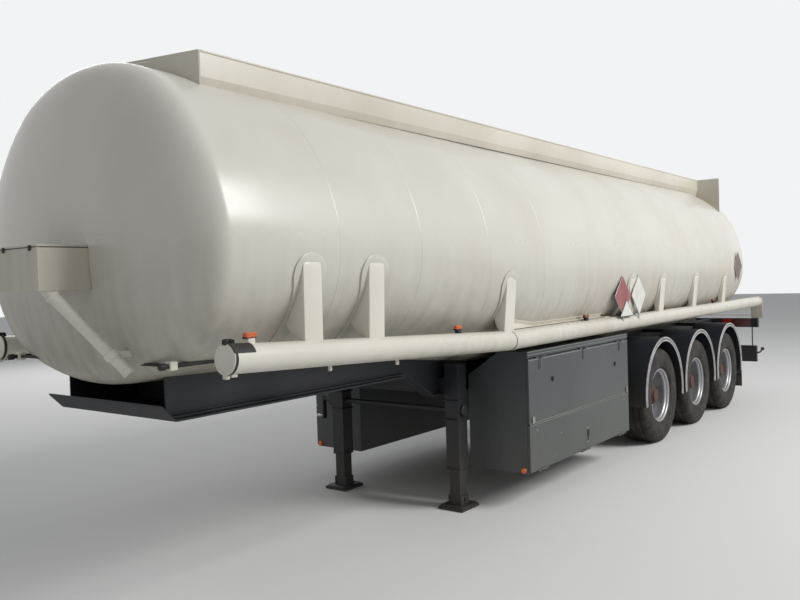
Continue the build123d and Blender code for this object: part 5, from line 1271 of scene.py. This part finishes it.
for side in sides:
    outline = round_outline((triangle * [-side, 1])[::side], 0.012)
    triangle_rims.append(outwards(slab(outline, 1.2565, 1.2600, 0.001), 0, 0, 0, side))
    white_plates.append(outwards(slab(drawn_in(outline, 0.009), 1.2590, 1.2612, 0.0005), 0, 0, 0, side))
make_piece("triangle_rims", triangle_rims, black_rubber)
make_piece("brown_plates", brown_plates, shaded_red_sheet)
make_piece("plate_backs", plate_backs, dull_aluminium, "hazard_placards")
make_piece("red_plates", red_plates, red_sheet)
make_piece("white_plates", white_plates, white_sheet)


# Front box and pipe
# A riveted sheet box on the head, its lid closed by a seam with a dark gasket, and a bent pipe that runs
# down from it to a clamp on the shell.
dress("front_box", coaming_enamel, 0.004)
box_high_x, box_low_y, box_high_y, lip = 5.625, -0.090, 0.330, 0.002
gasket = [block((5.300, box_low_y - lip, 2.149), (box_high_x + lip, box_high_y + lip, 2.154), 0.010, 0.001)]
gasket += [block((box_high_x, y - 0.012, 2.134), (box_high_x + 0.007, y + 0.012, 2.162), 0.004, 0.002)
           for y in (-0.020, 0.260)]
make_piece("front_box_gasket", gasket, black_rubber)
pipe_top, pipe_end, pipe_radius = np.array([5.562, 0.277, 1.935]), np.array([5.263, 0.550, 1.470]), 0.034
pipe_drop = pipe_end - pipe_top
pipe_run = pipe_drop / np.linalg.norm(pipe_drop)
pipe_across = np.cross(pipe_run, (1, 0, 0))
pipe_across /= np.linalg.norm(pipe_across)
pipe_over = np.cross(pipe_run, pipe_across)
clamp = pipe_top + pipe_drop * 0.8
front_line = [pipe(pipe_top + pipe_drop * np.linspace(0, 1, 6)[:, None], pipe_radius, (1, 0, 0), 32)]
for place, reach, half in ((clamp, 0.042, 0.022), (pipe_top + pipe_run * 0.06, 0.040, 0.012)):
    band = [(pipe_radius - 0.001, -half), (reach, -half + 0.003), (reach, half - 0.003),
            (pipe_radius - 0.001, half)]
    front_line.append(placed(turned(band, 32, close_u=True), place, pipe_across, pipe_over))
front_line.append(block(clamp - [0.204, 0.020, 0.020], clamp + [-0.030, 0.020, 0.020], 0.006, 0.003))
mouth_rim = turned(mm(28, -10, 32, -12, 36, -10, 36, 20, 33, 22, 28, 22), 32, close_u=True)
front_line.append(placed(mouth_rim, pipe_end, pipe_across, -pipe_over))
make_piece("front_downpipe", front_line, side_enamel, "front_pipe")
# a black plug inside the pipe's mouth: painted shade for the dark bore
make_piece("bore_painted_shade", [placed(rod(0.028, -0.004, 0.010, 32), pipe_end, pipe_across, -pipe_over)],
           black_rubber)
